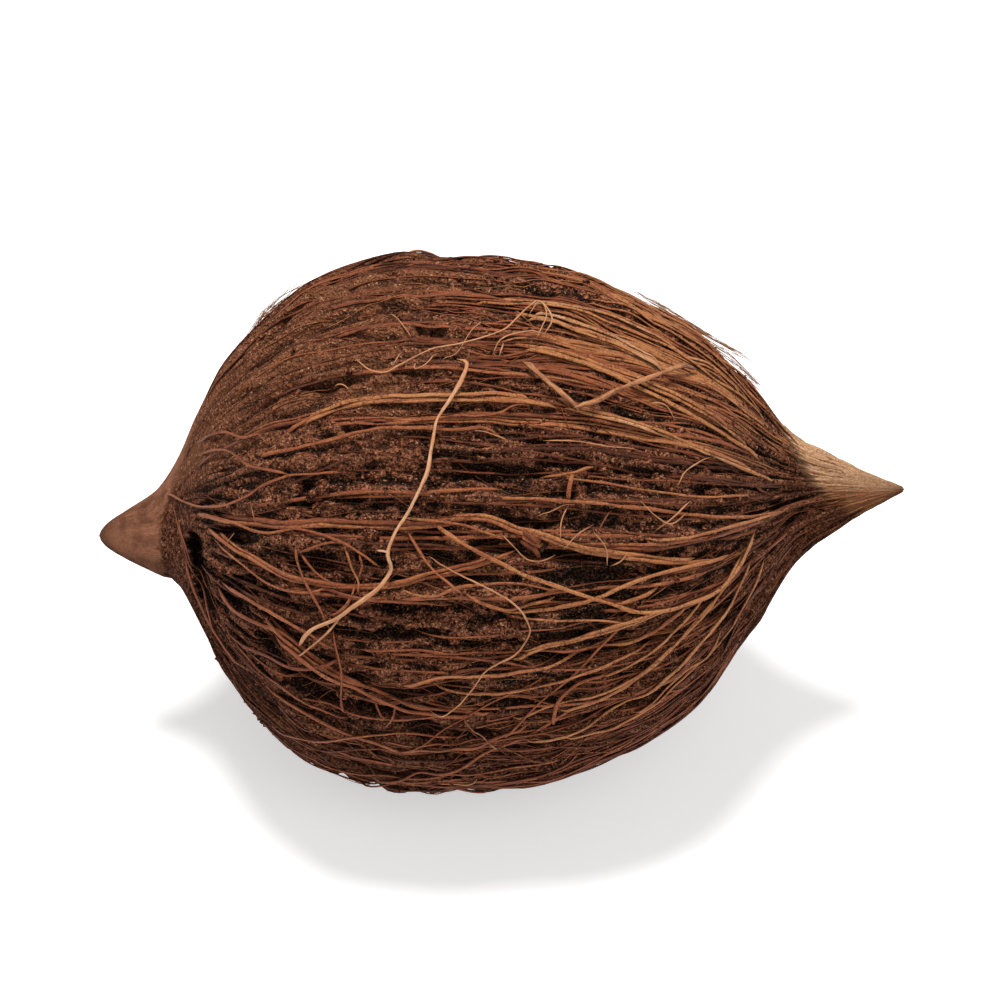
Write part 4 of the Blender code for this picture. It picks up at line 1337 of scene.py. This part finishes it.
class COCONUT_OT_net(bpy.types.Operator):
    """Adds a net of loose strands that cross each other, thickest on the lower front and back."""

    bl_idname = "coconut.net"
    bl_label = "Net"

    def execute(self, context):
        bundle = Bundle(SEED + 120, 0.9, 6)
        draw = bundle.draw
        for _ in range(context.scene.coconut.net_strands):
            length = draw.uniform(12, 55)
            start = draw.uniform(15, 106 - length)
            side = draw.choice(np.radians((104, 262, 180)), p=(0.22, 0.52, 0.26))
            middle = side + draw.normal(0, 0.5)
            along, around = swaying_way(bundle, start, length, middle, draw.normal(0, 0.2), 0.06, 16)
            width = draw.uniform(0.22, 0.62)
            lift = draw.uniform(-0.05, 0.3) + 0.15 * bundle.waves(len(along), 10)
            tone = draw.uniform(0.15, 0.55) + 0.35 * gold_tone_and_shade_below(along, around)
            lay(bundle, along, around, lift, width, width * 0.8, tone, 3, 0.7)
        for _ in range(STUB_STRANDS):
            start = draw.uniform(13.5, 19)
            length = draw.uniform(16, 48)
            middle = draw.uniform(2.3, 5.5)
            along, around = swaying_way(bundle, start, length, middle, draw.normal(0, 0.18), 0.05, 16)
            width = draw.uniform(0.25, 0.6) * slimmed(along, 0.5)
            lift = draw.uniform(-0.1, 0.2) + 0.15 * bundle.waves(len(along), 10)
            lay(bundle, along, around, lift, width, width * 0.8, draw.uniform(0.3, 0.75), 3, 0.7)
        add_piece("strand_net", bundle.shape, "coir")
        return {"FINISHED"}


class COCONUT_OT_pale_strands(bpy.types.Operator):
    """Adds the pale loose strands, curled threads and rootlets."""

    bl_idname = "coconut.pale_strands"
    bl_label = "Pale Strands"

    def execute(self, context):
        bundle = Bundle(SEED + 140, 0.4, 7)
        for name, (width, lift, tone, pixels) in PALE_STRANDS.items():
            browner = 0.22 if width > 0.45 else 0.32
            lay_seen(bundle, name, width * 0.6, lift, tone - browner, pixels, 0.5, 0.9)
        draw = bundle.draw
        for _ in range(SHORT_ROOTLETS):
            length = draw.uniform(2, 7)
            start = draw.uniform(20, 98)
            middle = draw.uniform(0, 2 * np.pi)
            slant = draw.normal(0, 0.07)
            along, around = swaying_way(bundle, start, length, middle, slant, 0.07, 2.5, ROOTLET_STEP)
            lift = draw.uniform(0.1, 0.5) + 0.25 * bundle.waves(len(along), 4, ROOTLET_STEP)
            width = draw.uniform(0.14, 0.24)
            lay(bundle, along, around, lift, width, width, draw.uniform(0.1, 0.5), 3, 0.2)
        for _ in range(LONG_ROOTLETS):
            length = draw.uniform(14, 34)
            start = draw.uniform(24, 92 - length)
            middle = math.radians(draw.uniform(205, 325))
            slant = draw.normal(0, 0.45)
            along, around = swaying_way(bundle, start, length, middle, slant, 0.10, 9, ROOTLET_STEP)
            lift = draw.uniform(0.2, 0.5) + 0.25 * bundle.waves(len(along), 7, ROOTLET_STEP)
            width = draw.uniform(0.24, 0.46)
            lay(bundle, along, around, lift, width, width, draw.uniform(0.45, 0.75), 3, 0.4)
        add_piece("pale_strands", bundle.shape, "pale_coir")
        return {"FINISHED"}


class COCONUT_OT_edge_hairs(bpy.types.Operator):
    """Adds hairs that stand off the husk's upper side."""

    bl_idname = "coconut.edge_hairs"
    bl_label = "Edge Hairs"

    def execute(self, context):
        bundle = Bundle(SEED + 160, 1.2, 4)
        draw = bundle.draw
        for name, pixels in EDGE_HAIRS.items():
            shift = RIGHT_HAIR_SHIFT if name.startswith("right") else LEFT_HAIR_SHIFT
            for _ in range(HAIRS_ALIKE):
                knots = np.array(pixels, float) + draw.normal(0, 1.1, (len(pixels), 2))
                knots = knots + draw.normal(0, 1.6, 2) + shift
                knots[-1] += draw.normal(0, 4.0) * np.array((0.8, 0.6))
                sight = rays(knots)
                along = TARGET[0] + (knots[:, 0] - PICTURE_CENTRE[0]) * PICTURE_PIXEL + REST_ALONG
                depth = (axis_point(along) - EYE) @ EYE_FORWARD / (sight @ EYE_FORWARD)
                points = EYE + sight * (depth + draw.normal(0, 1.5))[:, None]
                normals = np.tile(BEND_WAY, (len(points), 1))
                width = draw.uniform(0.05, 0.09)
                bundle.add(points, normals, width, width, draw.uniform(0.2, 0.6))
        add_piece("edge_hairs", bundle.shape, "pale_coir")
        return {"FINISHED"}


def scatter_crumbs(name, shape, count, seed, sizes, spread, flatness, seen):
    """Sticks copies of a small closed shape to the husk, each of another size, form and turn."""
    husk = skin()
    draw = np.random.default_rng(seed)
    seen_along, seen_around, _ = husk.place_seen_at(np.array(seen)[:, :2], 0.0)
    crumb = bpy.data.meshes.new(name)
    shape.to_mesh(crumb)
    shape.clear()
    ball = read_points(crumb)
    add_values(crumb, ("hollow_shade", "pale", "under"), ("grain",))

    tries = count * 4
    along = draw.uniform(*CRUMBS_ALONG, tries)
    around = draw.uniform(0, 2 * np.pi, tries)
    clustered = smooth_step(-0.1, 0.35, blotches(along, around, *spread, 20)) * outline(along)
    clustered = np.maximum(clustered, husk.sample(husk.open, along, around))
    clustered *= 1 - husk.sample(husk.soft, along, around)
    kept = np.flatnonzero(draw.random(tries) < 0.04 + 0.9 * clustered)[:count]
    along = np.append(along[kept], seen_along)
    around = np.append(around[kept], seen_around)
    size = sizes[0] + (sizes[1] - sizes[0]) * draw.random(len(kept)) ** 2
    size *= 0.35 + 0.65 * outline(along[:len(kept)])
    size = np.append(size, np.array(seen)[:, 2])
    relief = husk.sample(husk.relief, along, around)
    hollow_shade = husk.sample(husk.hollow_shade, along, around)
    pale = np.where(draw.random(len(along)) < 0.08, draw.uniform(0.1, 0.5, len(along)), 0.0) * (size < 0.3)
    raised = np.append(np.full(len(kept), -0.2), np.full(len(seen), 0.35))
    # The lower rim's painted shade, on crumbs as on the husk
    under = lower_rim_shade(around)
    centres = husk.point(along, around, relief + raised * size)
    outwards = outward(around)
    for i, centre in enumerate(centres):
        rough = ball * draw.uniform(0.7, 1.3, (len(ball), 1)) * draw.uniform(0.6, 1.3, 3) * size[i]
        turn = Euler(draw.uniform(0, 6.28, 3)).to_matrix()
        rough = rough @ np.array(turn)
        rough -= (rough @ outwards[i])[:, None] * outwards[i] * flatness
        points = keep_off_ground(centre + rough)
        move_points(crumb, points)
        set_values(crumb, "grain", points + i % 50)
        # Crumbs take half of the painted shade of the husk's cracks and hollows there, and the lower rim's
        # painted shade
        for value, amount in (("hollow_shade", 0.5 * hollow_shade[i]), ("pale", pale[i]), ("under", under[i])):
            set_values(crumb, value, np.full(len(ball), amount))
        shape.from_mesh(crumb)
    bpy.data.meshes.remove(crumb)
    add_piece(name, shape, "pith")


class COCONUT_OT_clods(bpy.types.Operator):
    """Adds clods of pith, which stick to the husk in patches."""

    bl_idname = "coconut.clods"
    bl_label = "Clods"

    def execute(self, context):
        shape = bmesh.new()
        bmesh.ops.create_uvsphere(shape, u_segments=6, v_segments=5, radius=1.0)
        count = context.scene.coconut.clods
        scatter_crumbs("clods", shape, count, SEED + 200, (0.35, 1.0), (16, 7), 0.5, CLODS)
        return {"FINISHED"}


class COCONUT_OT_crumbs(bpy.types.Operator):
    """Adds crumbs of pith, which stick to the husk."""

    bl_idname = "coconut.crumbs"
    bl_label = "Crumbs"

    def execute(self, context):
        shape = bmesh.new()
        bmesh.ops.create_icosphere(shape, subdivisions=1, radius=1.0)
        count = context.scene.coconut.crumbs
        scatter_crumbs("crumbs", shape, count, SEED + 180, (0.12, 0.42), (14, 10), 0.0, CRUMBS)
        return {"FINISHED"}


class COCONUT_OT_studio(bpy.types.Operator):
    """Adds the floor, the lights, the even sky and the camera."""

    bl_idname = "coconut.studio"
    bl_label = "Studio"

    def execute(self, context):
        settings = context.scene.coconut
        self.add_floor(settings)
        self.add_light("key", (-0.06, 0.06, 0.92), 0.3, settings.key_power)
        self.add_light("front", (0.30, -0.70, 0.62), 0.9, settings.front_power)
        world = bpy.data.worlds.new("sky")
        world.use_nodes = True
        background = world.node_tree.nodes["Background"]
        background.inputs["Color"].default_value = (1.0, 1.0, 1.0, 1.0)
        background.inputs["Strength"].default_value = settings.sky_strength
        bpy.context.scene.world = world
        self.add_camera()
        bpy.context.scene.view_settings.view_transform = "Standard"
        return {"FINISHED"}

    @staticmethod
    def add_floor(settings):
        shape = bmesh.new()
        bmesh.ops.create_grid(shape, x_segments=4, y_segments=4, size=4.0)
        mesh = bpy.data.meshes.new("floor")
        shape.to_mesh(mesh)
        shape.free()
        finish = Finish("floor", 0.9, 0.15)
        finish.shader.inputs["Base Color"].default_value = settings.floor_colour
        finish.shader.inputs["Emission Color"].default_value = (1.0, 1.0, 1.0, 1.0)
        finish.shader.inputs["Emission Strength"].default_value = settings.floor_glow
        mesh.materials.append(finish.material)
        floor = bpy.data.objects.new("floor", mesh)
        bpy.context.scene.collection.objects.link(floor)

    @staticmethod
    def add_light(name, place, size, power):
        light = bpy.data.lights.new(name, "AREA")
        light.shape = "DISK"
        light.size = size
        light.energy = power
        lamp = bpy.data.objects.new(name, light)
        lamp.location = place
        lamp.rotation_euler = (Vector(TARGET * MM) - Vector(place)).to_track_quat("-Z", "Y").to_euler()
        bpy.context.scene.collection.objects.link(lamp)

    @staticmethod
    def add_camera():
        camera = bpy.data.cameras.new("camera")
        camera.sensor_width = SENSOR
        camera.lens = SENSOR * EYE_DISTANCE / (PICTURE_PIXEL * PICTURE_WIDTH)
        camera.clip_start = 0.01
        eye = bpy.data.objects.new("camera", camera)
        eye.location = Vector(EYE * MM)
        eye.rotation_euler = Vector(EYE_FORWARD).to_track_quat("-Z", "Y").to_euler()
        bpy.context.scene.collection.objects.link(eye)
        bpy.context.scene.camera = eye


STEPS = (
    COCONUT_OT_husk,
    COCONUT_OT_crest_fibres,
    COCONUT_OT_husk_fibres,
    COCONUT_OT_straps,
    COCONUT_OT_beak_fibres,
    COCONUT_OT_fine_fibres,
    COCONUT_OT_loose_strands,
    COCONUT_OT_net,
    COCONUT_OT_pale_strands,
    COCONUT_OT_edge_hairs,
    COCONUT_OT_clods,
    COCONUT_OT_crumbs,
    COCONUT_OT_studio,
)


class COCONUT_PT_sidebar(bpy.types.Panel):
    """Lists the coconut's settings and steps."""

    bl_idname = "COCONUT_PT_sidebar"
    bl_label = "Dwarf Coconut"
    bl_space_type = "VIEW_3D"
    bl_region_type = "UI"
    bl_category = "Coconut"

    def draw(self, context):
        settings = context.scene.coconut
        for name in CoconutSettings.__annotations__:
            self.layout.prop(settings, name)
        for step in STEPS:
            self.layout.operator(step.bl_idname)


CLASSES = (CoconutSettings, *STEPS, COCONUT_PT_sidebar)


def register():
    for cls in CLASSES:
        bpy.utils.register_class(cls)
    bpy.types.Scene.coconut = PointerProperty(type=CoconutSettings)


def unregister():
    del bpy.types.Scene.coconut
    for cls in reversed(CLASSES):
        bpy.utils.unregister_class(cls)


def main():
    register()
    bpy.ops.coconut.studio()
    bpy.ops.coconut.husk()
    bpy.ops.coconut.crest_fibres()
    bpy.ops.coconut.husk_fibres()
    bpy.ops.coconut.straps()
    bpy.ops.coconut.beak_fibres()
    bpy.ops.coconut.fine_fibres()
    bpy.ops.coconut.loose_strands()
    bpy.ops.coconut.net()
    bpy.ops.coconut.pale_strands()
    bpy.ops.coconut.edge_hairs()
    bpy.ops.coconut.clods()
    bpy.ops.coconut.crumbs()


if __name__ == "__main__":
    main()
